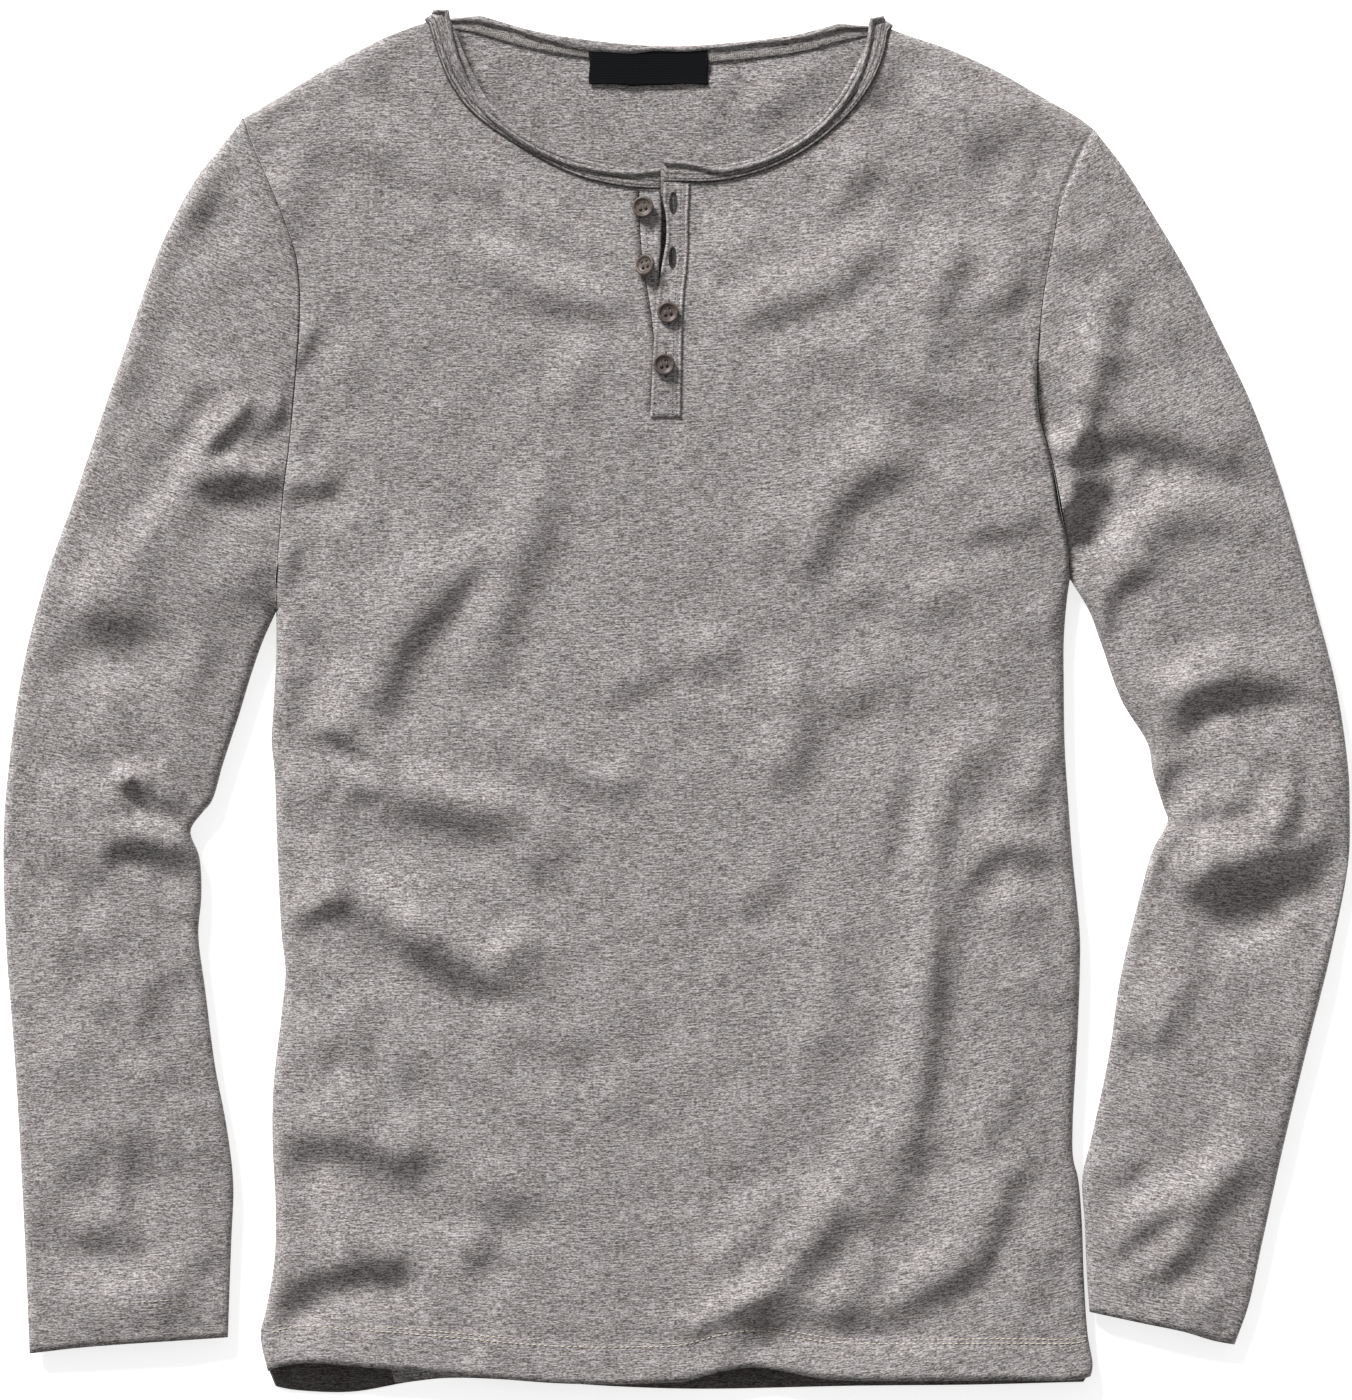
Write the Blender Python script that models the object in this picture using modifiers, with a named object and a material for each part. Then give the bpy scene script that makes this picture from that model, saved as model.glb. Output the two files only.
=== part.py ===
"""A long-sleeved henley shirt laid flat, front up.

Lengths are in metres, +Z is up, +Y points to the neck and +X to the right of a
person looking down at the shirt.  Tables are in millimetres and are turned into
metres by MM.  "left" and "right" in every name are the looker's left and right.
"""
import math

import bmesh
import bpy
import numpy as np
from mathutils import Matrix, Vector

MM = 0.001

# ---- driving sizes ---------------------------------------------------------
CLOTH = 1.4          # wall of the jersey panels
BAND_CLOTH = 1.2     # wall of the neckband and plackets
LABEL_CLOTH = 1.0    # wall of the woven neck label
SEAM_GAP = 0.4       # space left between pieces that meet edge to edge
LAY_GAP = 0.5        # space under a piece that lies on another
EDGE_Z = 6.2         # height of the side, shoulder and sleeve edges
NECK_Z = 5.4         # height of the front panel at the neckline
TURN_IN = 1.5        # upright strip that ends a panel at its seams
UNDER_ROUND = 11.0   # width of the rounding under every outer edge
BODY_ROUND = 45.0    # width of the rounding on top of the body edges
ARM_ROUND = 35.0     # same, where the sleeves are set in
SLEEVE_ROUND = 28.0  # same, on the sleeves
BLEND = 80.0         # distance over which body and sleeve sizes change
NECK_BLEND = 110.0   # distance over which the body rises from the neckline
BUTTON_R = 5.75      # radius of a button
BUTTON_T = 2.6       # thickness of a button
HOLE_R = 0.75        # radius of a thread hole
HOLE_OUT = 1.45      # distance of a thread hole from the middle, along x and y
ROLL_R = 2.5         # radius of the roll along the back of the neckband
ROLL_FLAT = 5.0      # flat part of the neckband before the roll
ROLL_LIP = 6.0       # part of the neckband after the roll
BAND_LAY = 0.8       # space under the neckband where it lies on the front
BAND_RISE = 0.9      # extra space under it at the shoulders
PLACKET_Y = 152.0    # foot of the under placket
PLACKET_TOP_Y = 268.6  # top of the under placket, below the neckband

# ---- outlines, x and y -----------------------------------------------------
SIDE_LEFT = [(-216.8, -357.0), (-220.7, -338.1), (-217.6, -323.8), (-213.3, -297.3),
             (-212.8, -267.1), (-214.4, -236.4), (-213.9, -206.2), (-209.6, -167.5),
             (-207.5, -145.2), (-209.6, -125.1), (-211.2, -94.9), (-212.3, -66.8),
             (-213.3, -39.2), (-214.9, -22.8), (-214.4, -13.3), (-212.3, 22.8),
             (-212.3, 46.0)]
SIDE_RIGHT = [(219.6, -359.6), (220.7, -354.0), (218.1, -338.1), (216.0, -307.4),
              (214.9, -277.2), (212.8, -253.9), (210.4, -244.9), (210.1, -226.3),
              (211.7, -196.1), (212.8, -176.0), (213.9, -145.2), (213.9, -125.1),
              (210.1, -85.9), (208.0, -58.3), (205.9, -26.0), (205.4, 6.4),
              (205.4, 30.7), (207.0, 52.0), (208.6, 63.1)]
ARMHOLE_LEFT = [(-212.3, 46.0), (-211.4, 70.0), (-208.6, 104.9), (-204.8, 136.7),
                (-202.7, 159.0), (-199.5, 200.3), (-201.1, 232.1), (-208.6, 256.0),
                (-219.0, 281.0), (-225.5, 296.0), (-229.8, 307.4)]
ARMHOLE_RIGHT = [(208.6, 63.1), (207.0, 84.3), (203.8, 98.6), (200.1, 119.8),
                 (195.8, 136.2), (192.1, 150.0), (191.1, 172.0), (192.7, 200.9),
                 (195.3, 221.0), (199.5, 243.3), (202.7, 261.8), (208.0, 275.1),
                 (214.9, 290.4), (221.3, 301.5)]
SHOULDER_LEFT = [(-229.8, 307.4), (-206.4, 321.2), (-184.7, 334.4), (-155.6, 349.8),
                 (-143.0, 354.8), (-133.0, 358.2), (-121.0, 362.0)]
SHOULDER_RIGHT = [(221.3, 301.5), (213.3, 307.6), (194.2, 318.5), (169.3, 332.8),
                  (143.9, 344.2), (126.9, 350.0), (115.0, 354.2), (104.6, 358.4)]
FRONT_NECK_LEFT = [(-121.0, 362.0), (-116.4, 351.0), (-110.8, 337.4), (-99.8, 317.0),
                   (-82.4, 300.0), (-61.2, 289.4), (-44.3, 284.1), (-29.0, 281.2),
                   (-20.6, 280.2)]
FRONT_NECK_RIGHT = [(104.6, 358.4), (101.4, 348.4), (95.7, 336.0), (86.1, 319.1),
                    (72.9, 303.7), (58.0, 294.2), (42.7, 286.7), (23.6, 282.5),
                    (10.0, 281.4), (2.6, 281.6)]
NOTCH_LEFT = [(-13.0, 150.5), (-12.2, 165.0), (-11.5, 179.0), (-12.8, 195.0),
              (-15.0, 212.0), (-17.5, 225.0), (-19.5, 245.0), (-20.6, 280.2)]
NOTCH_RIGHT = [(-1.0, 150.5), (-0.6, 179.0), (-0.1, 211.0), (2.1, 237.0),
               (2.6, 281.6)]
FRONT_HEM = [(-216.8, -357.0), (-210.7, -354.6), (-196.9, -352.5), (-165.1, -354.6),
             (-119.5, -358.3), (-63.3, -363.1), (-20.0, -363.5), (2.0, -362.5),
             (24.6, -356.7), (42.1, -354.6), (55.9, -356.7), (79.2, -360.9),
             (117.9, -362.0), (172.5, -361.5), (211.2, -361.5), (219.6, -359.6)]
BACK_HEM = [(-213.0, -365.5), (-203.3, -367.3), (-173.0, -368.4), (-141.2, -363.1),
            (-119.0, -361.0), (-63.3, -363.6), (-28.4, -365.7), (12.5, -366.8),
            (94.6, -365.2), (157.1, -364.6), (216.0, -363.1)]
BACK_NECK = [(-133.0, 358.2), (-129.0, 358.0), (-115.0, 356.4), (-102.9, 353.4),
             (-72.4, 344.9), (-34.0, 339.0), (-2.9, 337.4), (24.2, 339.0),
             (62.8, 343.4), (85.6, 348.6), (98.0, 351.8), (111.0, 353.4),
             (115.0, 354.2)]
SLEEVE_OUTER_LEFT = [(-229.8, 307.4), (-241.9, 292.0), (-253.6, 277.2), (-263.7, 260.2),
                     (-274.3, 238.0), (-282.8, 214.7), (-291.2, 189.2), (-302.9, 155.3),
                     (-319.9, 104.9), (-334.2, 64.7), (-347.4, 12.7), (-355.4, -47.2),
                     (-357.0, -71.6), (-357.0, -94.3), (-355.4, -135.2),
                     (-352.7, -169.6), (-349.5, -216.2), (-345.3, -297.3),
                     (-343.2, -347.7)]
SLEEVE_INNER_LEFT = [(-212.3, 46.0), (-219.2, 30.7), (-225.5, 12.7), (-231.9, -8.5),
                     (-240.4, -34.5), (-246.7, -55.1), (-256.6, -70.0), (-253.1, -84.3),
                     (-252.0, -104.9), (-253.6, -125.1), (-249.9, -155.3),
                     (-244.6, -196.1), (-238.8, -226.3), (-235.1, -257.1),
                     (-236.1, -287.3), (-237.2, -317.5), (-237.9, -339.0)]
CUFF_LEFT = [(-343.2, -347.7), (-320.0, -344.8), (-297.6, -342.9), (-237.9, -339.0)]
SLEEVE_OUTER_RIGHT = [(221.3, 301.5), (236.6, 282.0), (253.6, 254.9), (270.6, 226.3),
                      (287.5, 192.4), (304.5, 156.9), (320.9, 111.8), (338.4, 50.4),
                      (350.1, 4.8), (356.4, -39.2), (357.0, -58.3), (356.4, -85.9),
                      (347.4, -133.6), (334.2, -186.6), (321.4, -239.6),
                      (309.8, -292.6), (303.5, -321.7), (296.0, -342.9)]
SLEEVE_INNER_RIGHT = [(208.6, 63.1), (218.6, 46.6), (225.0, 29.2), (236.1, -1.6),
                      (249.9, -24.4), (252.5, -39.2), (259.6, -62.0), (252.5, -80.6),
                      (246.7, -100.7), (235.1, -149.5), (229.2, -189.7),
                      (219.4, -236.0), (215.2, -254.0), (216.4, -277.2),
                      (217.7, -307.4), (219.0, -325.5)]
CUFF_RIGHT = [(296.0, -342.9), (284.9, -340.8), (269.0, -336.0), (246.7, -331.4),
              (219.0, -325.5)]
BAND_SEAM_LEFT = [(-8.4, 269.4), (-25.2, 270.6), (-48.0, 275.1), (-67.0, 283.0),
                  (-89.8, 296.3), (-109.6, 311.3), (-120.2, 325.6), (-127.0, 341.6),
                  (-131.5, 356.8)]
BAND_LIP_LEFT = [(-8.4, 281.0), (-25.2, 279.6), (-45.5, 282.6), (-63.0, 288.0),
                 (-84.6, 299.2), (-102.4, 315.2), (-112.6, 334.0), (-118.0, 350.0),
                 (-120.8, 365.0)]
BAND_SEAM_RIGHT = [(-6.6, 273.5), (19.9, 273.5), (42.7, 278.3), (65.5, 288.3),
                   (89.8, 307.4), (103.1, 324.4), (109.8, 340.0), (112.6, 353.2)]
BAND_LIP_RIGHT = [(-6.6, 285.6), (22.6, 281.0), (41.6, 285.0), (59.2, 292.8),
                  (79.0, 308.0), (92.4, 326.0), (99.4, 343.4), (102.4, 360.2)]
BACK_TOP = [(-104.0, 362.2), (-72.3, 353.4), (-33.1, 347.8), (-2.9, 346.0),
            (23.6, 347.4), (61.7, 351.8), (86.0, 358.0)]
PLACKET_TOP_FREE = [(-14.0, 148.4), (-12.5, 179.1), (-11.4, 200.3), (-9.8, 216.2),
                    (-7.3, 232.0), (-5.6, 242.0), (-5.6, 255.0), (-7.0, 265.0),
                    (-6.8, 272.6)]
PLACKET_TOP_SEAM = [(2.4, 148.4), (2.9, 179.1), (3.9, 211.7), (5.7, 229.5),
                    (6.4, 242.0), (6.4, 255.0), (6.9, 265.0), (7.2, 272.6)]
PLACKET_UNDER_FREE = [(-4.0, 152.0), (-3.6, 179.0), (-4.4, 195.0), (-6.8, 212.0),
                      (-9.1, 226.8), (-8.2, 237.4), (-7.8, 257.6), (-8.4, 268.6)]

# ---- heights along the shirt: y, z -----------------------------------------
BODY_CROWN = [(-370.0, 8.0), (-345.0, 10.0), (-300.0, 14.0), (-200.0, 16.5),
              (0.0, 16.5), (150.0, 17.0), (250.0, 15.5), (370.0, 12.0)]
SLEEVE_CROWN = [(-350.0, 8.0), (-320.0, 9.6), (-200.0, 11.5), (0.0, 12.5),
                (150.0, 13.5), (310.0, 14.0)]
# ---- valley at the armhole seam: part of the way from underarm to tip,
#      depth, width on the body side, width on the sleeve side ---------------
VALLEY = [(0.00, 4.5, 7.0, 34.0), (0.25, 5.5, 7.0, 34.0), (0.42, 3.8, 9.0, 26.0),
          (0.60, 2.0, 16.0, 18.0), (1.00, 1.2, 16.0, 16.0)]

# ---- largest folds: start x, start y, end x, end y, bow to the left of the
#      start-to-end line, height, width left, width right -------------------
FOLDS = [
    (-105.0, 256.0, -15.0, 210.0, 3.0, 2.2, 10.0, 10.0),
    (-150.0, 252.0, -62.0, 216.0, 0.0, 1.4, 10.0, 10.0),
    (14.0, 208.0, 113.0, 290.0, -12.0, 1.6, 11.0, 11.0),
    (-50.0, 187.0, -92.0, 20.0, -4.0, 2.4, 10.0, 18.0),
    (-98.0, 90.0, -158.0, -20.0, -10.0, 3.4, 10.0, 16.0),
    (-206.0, 158.0, -287.0, 70.0, 4.0, 3.0, 12.0, 16.0),
    (-212.0, -14.0, -34.0, -57.0, -6.0, 3.0, 12.0, 12.0),
    (-181.0, -100.0, -88.0, -152.0, 4.0, 3.0, 12.0, 14.0),
    (108.0, 147.0, 69.0, 52.0, -5.0, 2.2, 12.0, 18.0),
    (148.0, -16.0, 135.0, -107.0, -4.0, 3.4, 9.0, 9.0),
    (135.0, -80.0, 118.0, -261.0, 3.0, 3.4, 9.0, 9.0),
    (110.0, -240.0, 12.0, -335.0, 3.0, 3.4, 13.0, 17.0),
    (182.0, -240.0, 108.0, -316.0, 4.0, 2.8, 12.0, 15.0),
    (222.0, 128.0, 299.0, 110.0, 6.0, -2.8, 14.0, 14.0),
    (259.0, -54.0, 331.0, -46.0, -6.0, 3.0, 10.0, 18.0),
    (322.0, -240.0, 227.0, -297.0, -4.0, 2.4, 12.0, 14.0),
    (-348.0, -74.0, -258.0, -80.0, -4.0, 2.8, 12.0, 14.0),
]

# ---- mesh steps ------------------------------------------------------------
SIDE_ROWS = 12        # front panel rows from hem to underarm
BACK_ROWS = 8         # back panel rows from hem to underarm
END_STEPS = [3.0, 11.0, 24.0, 40.0]   # armhole steps near each of its ends
ARM_MIDDLE = 5        # armhole steps between them
NOTCH_ROW = 18        # front panel row at the foot of the opening
ROUND_STEPS = [1.5, 7.0, 18.0, 34.0]  # column steps across the rounded side
HEM_COLUMNS = 10      # columns across the rest of each half front
SHOULDER_COLUMNS = 7  # of the columns of a half front, those on the shoulder
BACK_SHOULDER = 6     # back panel columns on each shoulder
BACK_COLUMNS = 8      # back panel columns on the neck
SLEEVE_ROWS = 14      # sleeve rows from armhole to cuff
LABEL_X = (-46.4, 16.7)
LABEL_Y = (325.4, 344.0)

# ---- buttons: name, x, y, tilt in degrees, direction of the low side, piece --
BUTTONS = [("button_1", -17.6, 260.0, 10.0, -40.0, "under"),
           ("button_2", -15.9, 229.0, 20.0, -20.0, "under"),
           ("button_3", -4.5, 204.0, 3.0, -60.0, "top"),
           ("button_4", -6.6, 176.5, 3.0, -60.0, "top")]
# ---- open buttonholes: middle x, middle y, half width, half length ----------
BUTTONHOLES = [(-1.3, 262.5, 1.5, 5.0), (-1.9, 233.0, 1.4, 5.0)]

# ---- colours, roughness ----------------------------------------------------
JERSEY = ((0.335, 0.318, 0.314, 1.0), 0.92)
BAND = ((0.330, 0.313, 0.305, 1.0), 0.92)
HORN = ((0.140, 0.108, 0.092, 1.0), 0.42)
WOVEN = ((0.006, 0.007, 0.008, 1.0), 0.70)


# ---- lines -----------------------------------------------------------------
def smooth_line(points, per_span=10):
    """Rounded line through the points, as a dense run of points."""
    p = np.array(points, dtype=float)
    gaps = np.sqrt(np.linalg.norm(np.diff(p, axis=0), axis=1))
    t = np.concatenate([[0.0], np.cumsum(gaps)])
    slope = np.gradient(p, t, axis=0)
    out = [p[0]]
    for i in range(len(p) - 1):
        h = t[i + 1] - t[i]
        for k in range(1, per_span + 1):
            s = k / per_span
            out.append(p[i] * (2 * s ** 3 - 3 * s ** 2 + 1)
                       + slope[i] * h * (s ** 3 - 2 * s ** 2 + s)
                       + p[i + 1] * (3 * s ** 2 - 2 * s ** 3)
                       + slope[i + 1] * h * (s ** 3 - s ** 2))
    return np.array(out)


def lengths_of(line):
    return np.concatenate([[0.0], np.cumsum(np.linalg.norm(np.diff(line, axis=0), axis=1))])


def points_at(line, share):
    """Points at the given shares, 0 to 1, of the line's length."""
    run = lengths_of(line)
    want = np.clip(np.asarray(share, dtype=float), 0.0, 1.0) * run[-1]
    columns = [np.interp(want, run, line[:, k]) for k in range(line.shape[1])]
    return np.stack(columns, axis=1)


def distance_to(line, x, y):
    """Distance to a line and the share of its length at the nearest point."""
    start = line[:-1]
    step = np.diff(line, axis=0)
    size = np.maximum((step ** 2).sum(axis=1), 1e-12)
    run = lengths_of(line)
    px = x.ravel()[:, None] - start[None, :, 0]
    py = y.ravel()[:, None] - start[None, :, 1]
    along = np.clip((px * step[:, 0] + py * step[:, 1]) / size, 0.0, 1.0)
    gap = np.hypot(px - along * step[:, 0], py - along * step[:, 1])
    best = gap.argmin(axis=1)
    rows = np.arange(len(best))
    share = (run[best] + along[rows, best] * np.sqrt(size[best])) / run[-1]
    return gap[rows, best].reshape(x.shape), share.reshape(x.shape)


def ease(t):
    t = np.clip(t, 0.0, 1.0)
    return t * t * (3.0 - 2.0 * t)


def rounding(distance, width):
    """Quarter ellipse: 0 on the edge, 1 at the width."""
    s = np.clip(distance / width, 0.0, 1.0)
    return np.sqrt(np.maximum(0.0, 1.0 - (1.0 - s) ** 2))


def table(rows, value, column):
    rows = np.array(rows)
    return np.interp(value, rows[:, 0], rows[:, column])


SIDES = {}
for side_name, side, armhole, shoulder, outer, inner in (
        ("left", SIDE_LEFT, ARMHOLE_LEFT, SHOULDER_LEFT, SLEEVE_OUTER_LEFT,
         SLEEVE_INNER_LEFT),
        ("right", SIDE_RIGHT, ARMHOLE_RIGHT, SHOULDER_RIGHT, SLEEVE_OUTER_RIGHT,
         SLEEVE_INNER_RIGHT)):
    SIDES[side_name] = {
        "side": smooth_line(side),
        "armhole": smooth_line(armhole),
        "shoulder": smooth_line(shoulder),
        "outer": smooth_line(outer),
        "inner": smooth_line(inner),
        "top": np.vstack([smooth_line(shoulder)[::-1], smooth_line(outer)[1:]]),
    }
NECK_LINE = np.vstack([smooth_line(FRONT_NECK_LEFT), smooth_line(FRONT_NECK_RIGHT)[::-1]])


# ---- heights ---------------------------------------------------------------
def fold_height(x, y, folds):
    total = np.zeros_like(x)
    for x0, y0, x1, y1, bow, height, left, right in folds:
        run = math.hypot(x1 - x0, y1 - y0)
        ux = (x1 - x0) / run
        uy = (y1 - y0) / run
        along = ((x - x0) * ux + (y - y0) * uy) / run
        across = (y - y0) * ux - (x - x0) * uy
        across = across - 4.0 * bow * along * (1.0 - along)
        width = np.where(across > 0.0, left, right)
        ends = ease(along / 0.3) * ease((1.0 - along) / 0.3)
        total = total + height * ends * np.exp(-(across / width) ** 2)
    return total


def edge_factors(x, y, where, sleeve, under):
    """How far a point is from the outer edges, 0 to 1, for top or underside."""
    factor = np.ones_like(x)
    for name in (("left", "right") if where == "both" else (where,)):
        lines = SIDES[name]
        arm, share = distance_to(lines["armhole"], x, y)
        far = ease(arm / BLEND)
        if under:
            width = UNDER_ROUND
        else:
            width = ARM_ROUND + (SLEEVE_ROUND - ARM_ROUND if sleeve
                                 else BODY_ROUND - ARM_ROUND) * far
        top, _ = distance_to(lines["top"], x, y)
        flank, _ = distance_to(lines["inner"] if sleeve else lines["side"], x, y)
        factor = factor * rounding(top, width) * rounding(flank, width)
    return factor


def top_height(x, y, where, sleeve):
    """Height of the upper surface of the body or of one sleeve."""
    body = table(BODY_CROWN, y, 1) - TURN_IN
    neck, _ = distance_to(NECK_LINE, x, y)
    body = NECK_Z + (body - NECK_Z) * ease(neck / NECK_BLEND)
    arm_crown = table(SLEEVE_CROWN, y, 1)
    height = body if not sleeve else arm_crown
    for name in (("left", "right") if where == "both" else (where,)):
        arm, share = distance_to(SIDES[name]["armhole"], x, y)
        mix = 0.5 * (1.0 - ease(arm / BLEND))
        height = height + ((arm_crown - body) if not sleeve else (body - arm_crown)) * mix
        depth = table(VALLEY, share, 1)
        width = table(VALLEY, share, 3 if sleeve else 2)
        crisp = 1.0 - rounding(arm, width)
        soft = (1.0 - np.clip(arm / width, 0.0, 1.0)) ** 2
        sharp = 0.0 if sleeve else np.clip((5.0 * (0.55 - share)), 0.0, 1.0)
        height = height - depth * (crisp * sharp + soft * (1.0 - sharp))
    height = height + fold_height(x, y, FOLDS)
    factor = edge_factors(x, y, where, sleeve, False)
    return EDGE_Z + (height - EDGE_Z) * factor


def front_height(x, y):
    """Height of the front panel's outer face."""
    return top_height(x, y, "both", False) + 0.5 * SEAM_GAP + TURN_IN


def under_height(x, y, where, sleeve):
    return EDGE_Z * (1.0 - edge_factors(x, y, where, sleeve, True))


# ---- grids -----------------------------------------------------------------
def coons(bottom, top, left, right, u, v):
    """Fill four edges; u and v are the shares along them."""
    uu = u[None, :, None]
    vv = v[:, None, None]
    corners = ((1 - uu) * (1 - vv) * bottom[0] + uu * (1 - vv) * bottom[-1]
               + (1 - uu) * vv * top[0] + uu * vv * top[-1])
    return ((1 - vv) * bottom[None] + vv * top[None]
            + (1 - uu) * left[:, None] + uu * right[:, None] - corners)


def armhole_shares(line):
    """Shares of the armhole length at its rows, close together near its ends."""
    run = lengths_of(line)[-1]
    near = np.array(END_STEPS) / run
    middle = np.linspace(near[-1], 1.0 - near[-1], ARM_MIDDLE + 1)[1:-1]
    return np.concatenate([[0.0], near, middle, 1.0 - near[::-1], [1.0]])


def flank_points(name, rows):
    """Side seam then armhole, from hem to shoulder tip."""
    lines = SIDES[name]
    side = points_at(lines["side"], np.linspace(0.0, 1.0, rows + 1))
    arm = points_at(lines["armhole"], armhole_shares(lines["armhole"]))
    return np.vstack([side, arm[1:]])


def half_front(name):
    """Grid of one half of the front panel, columns from the side to the notch."""
    left = flank_points(name, SIDE_ROWS)
    run = lengths_of(left)
    v = run / run[-1]
    hem = smooth_line(FRONT_HEM)
    notch = smooth_line(NOTCH_LEFT if name == "left" else NOTCH_RIGHT)
    foot = -20.0 if name == "left" else 2.0
    keep = hem[hem[:, 0] <= foot + 0.01] if name == "left" else hem[hem[:, 0] >= foot - 0.01][::-1]
    hem_run = lengths_of(keep)[-1]
    u = np.concatenate([[0.0], np.array(ROUND_STEPS) / hem_run,
                        np.linspace(ROUND_STEPS[-1] / hem_run, 1.0, HEM_COLUMNS + 1)[1:]])
    bottom = points_at(keep, u)
    shoulder = SIDES[name]["shoulder"]
    neck = smooth_line(FRONT_NECK_LEFT if name == "left" else FRONT_NECK_RIGHT)
    first = u[:SHOULDER_COLUMNS + 1] / u[SHOULDER_COLUMNS]
    second = np.linspace(0.0, 1.0, len(u) - SHOULDER_COLUMNS)
    top = np.vstack([points_at(shoulder, first), points_at(neck, second)[1:]])
    low = v[:NOTCH_ROW + 1] / v[NOTCH_ROW]
    high = (v[NOTCH_ROW:] - v[NOTCH_ROW]) / (1.0 - v[NOTCH_ROW])
    stem = np.array([bottom[-1], notch[0]])
    inner = np.vstack([points_at(stem, low), points_at(notch, high)[1:]])
    return coons(bottom, top, left, inner, u, v)


def panel_mesh(name, grid, skip=(), flip=False):
    """Open surface from a grid of points; skip lists cells that are left out."""
    rows, columns = grid.shape[:2]
    faces = []
    for j in range(rows - 1):
        for i in range(columns - 1):
            if (j, i) in skip:
                continue
            a = j * columns + i
            quad = (a, a + 1, a + columns + 1, a + columns)
            faces.append(quad[::-1] if flip else quad)
    used = sorted({index for face in faces for index in face})
    place = {old: new for new, old in enumerate(used)}
    points = [tuple(grid.reshape(-1, 3)[index] * MM) for index in used]
    mesh = bpy.data.meshes.new(name)
    mesh.from_pydata(points, [], [tuple(place[k] for k in face) for face in faces])
    work = bmesh.new()
    work.from_mesh(mesh)
    bmesh.ops.remove_doubles(work, verts=work.verts, dist=0.000001)
    work.to_mesh(mesh)
    work.free()
    mesh.update()
    return mesh


def turned_edge(grid, drop, sides=True, top=True):
    """Turn the outer edges of a grid straight up or down by a small strip."""
    if top:
        last = grid[-1:].copy()
        last[..., 2] += drop
        grid = np.concatenate([grid, last], axis=0)
    if sides:
        first = grid[:, :1].copy()
        last = grid[:, -1:].copy()
        first[..., 2] += drop
        last[..., 2] += drop
        grid = np.concatenate([first, grid, last], axis=1)
        if top:
            grid[-1, 0] = grid[-2, 0]
            grid[-1, -1] = grid[-2, -1]
    return grid


def corner_cells(grid):
    """The two empty cells where the turned strips meet at the shoulder tips."""
    rows, columns = grid.shape[:2]
    return {(rows - 2, 0), (rows - 2, columns - 2)}


def add_object(name, mesh, material, wall=None):
    obj = bpy.data.objects.new(name, mesh)
    shirt.objects.link(obj)
    mesh.materials.append(material)
    if wall is not None:
        thick = obj.modifiers.new("wall", "SOLIDIFY")
        thick.thickness = wall * MM
        thick.offset = -1.0
        thick.use_rim = True
        thick.use_even_offset = False
    mesh.shade_smooth()
    return obj


def make_material(name, look):
    colour, rough = look
    material = bpy.data.materials.new(name)
    material.use_nodes = True
    shader = material.node_tree.nodes["Principled BSDF"]
    shader.inputs["Base Color"].default_value = colour
    shader.inputs["Roughness"].default_value = rough
    shader.inputs["Metallic"].default_value = 0.0
    material.diffuse_color = colour
    return material


# ---- start with an empty scene ---------------------------------------------
for old in list(bpy.data.objects):
    bpy.data.objects.remove(old, do_unlink=True)
shirt = bpy.data.collections.new("henley_shirt")
bpy.context.scene.collection.children.link(shirt)
cutters = bpy.data.collections.new("cutters")
bpy.context.scene.collection.children.link(cutters)

# ---- front panel -----------------------------------------------------------
left_half = half_front("left")
right_half = half_front("right")[:, ::-1]
middle = 0.5 * (left_half[:, -1:] + right_half[:, :1])
flat = np.concatenate([left_half, middle, right_half], axis=1)
notch_column = left_half.shape[1] - 1
height = front_height(flat[..., 0], flat[..., 1])
front_grid = turned_edge(np.dstack([flat, height]), -TURN_IN)
notch_cells = {(j, i) for j in range(NOTCH_ROW, flat.shape[0])
               for i in (notch_column + 1, notch_column + 2)}
front_mesh = panel_mesh("front", front_grid, notch_cells | corner_cells(front_grid))
add_object("front", front_mesh, make_material("front", JERSEY), CLOTH)

# ---- back panel ------------------------------------------------------------
left = flank_points("left", BACK_ROWS)
right = flank_points("right", BACK_ROWS)
left[0] = BACK_HEM[0]
right[0] = BACK_HEM[-1]
run = lengths_of(left)
v = run / run[-1]
shoulder_share = np.linspace(0.0, 1.0, BACK_SHOULDER + 1)
back_left = smooth_line(SHOULDER_LEFT[:-1])
back_right = smooth_line(SHOULDER_RIGHT[:-1])
top = np.vstack([points_at(back_left, shoulder_share),
                 points_at(smooth_line(BACK_NECK), np.linspace(0, 1, BACK_COLUMNS + 1))[1:-1],
                 points_at(back_right, shoulder_share)[::-1]])
count = BACK_SHOULDER * 2 + BACK_COLUMNS
edge = np.array([0.0, 0.006, 0.03, 0.075])
u = np.concatenate([edge, np.linspace(0.12, 0.88, count - 7), 1.0 - edge[::-1]])
bottom = points_at(smooth_line(BACK_HEM), u)
flat = coons(bottom, top, left, right, u, v)
height = np.maximum(under_height(flat[..., 0], flat[..., 1], "both", False)
                    - 0.5 * SEAM_GAP - TURN_IN, 0.0)
back_grid = turned_edge(np.dstack([flat, height]), TURN_IN)
add_object("back", panel_mesh("back", back_grid, corner_cells(back_grid), flip=True),
           make_material("back", JERSEY), CLOTH)


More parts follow.
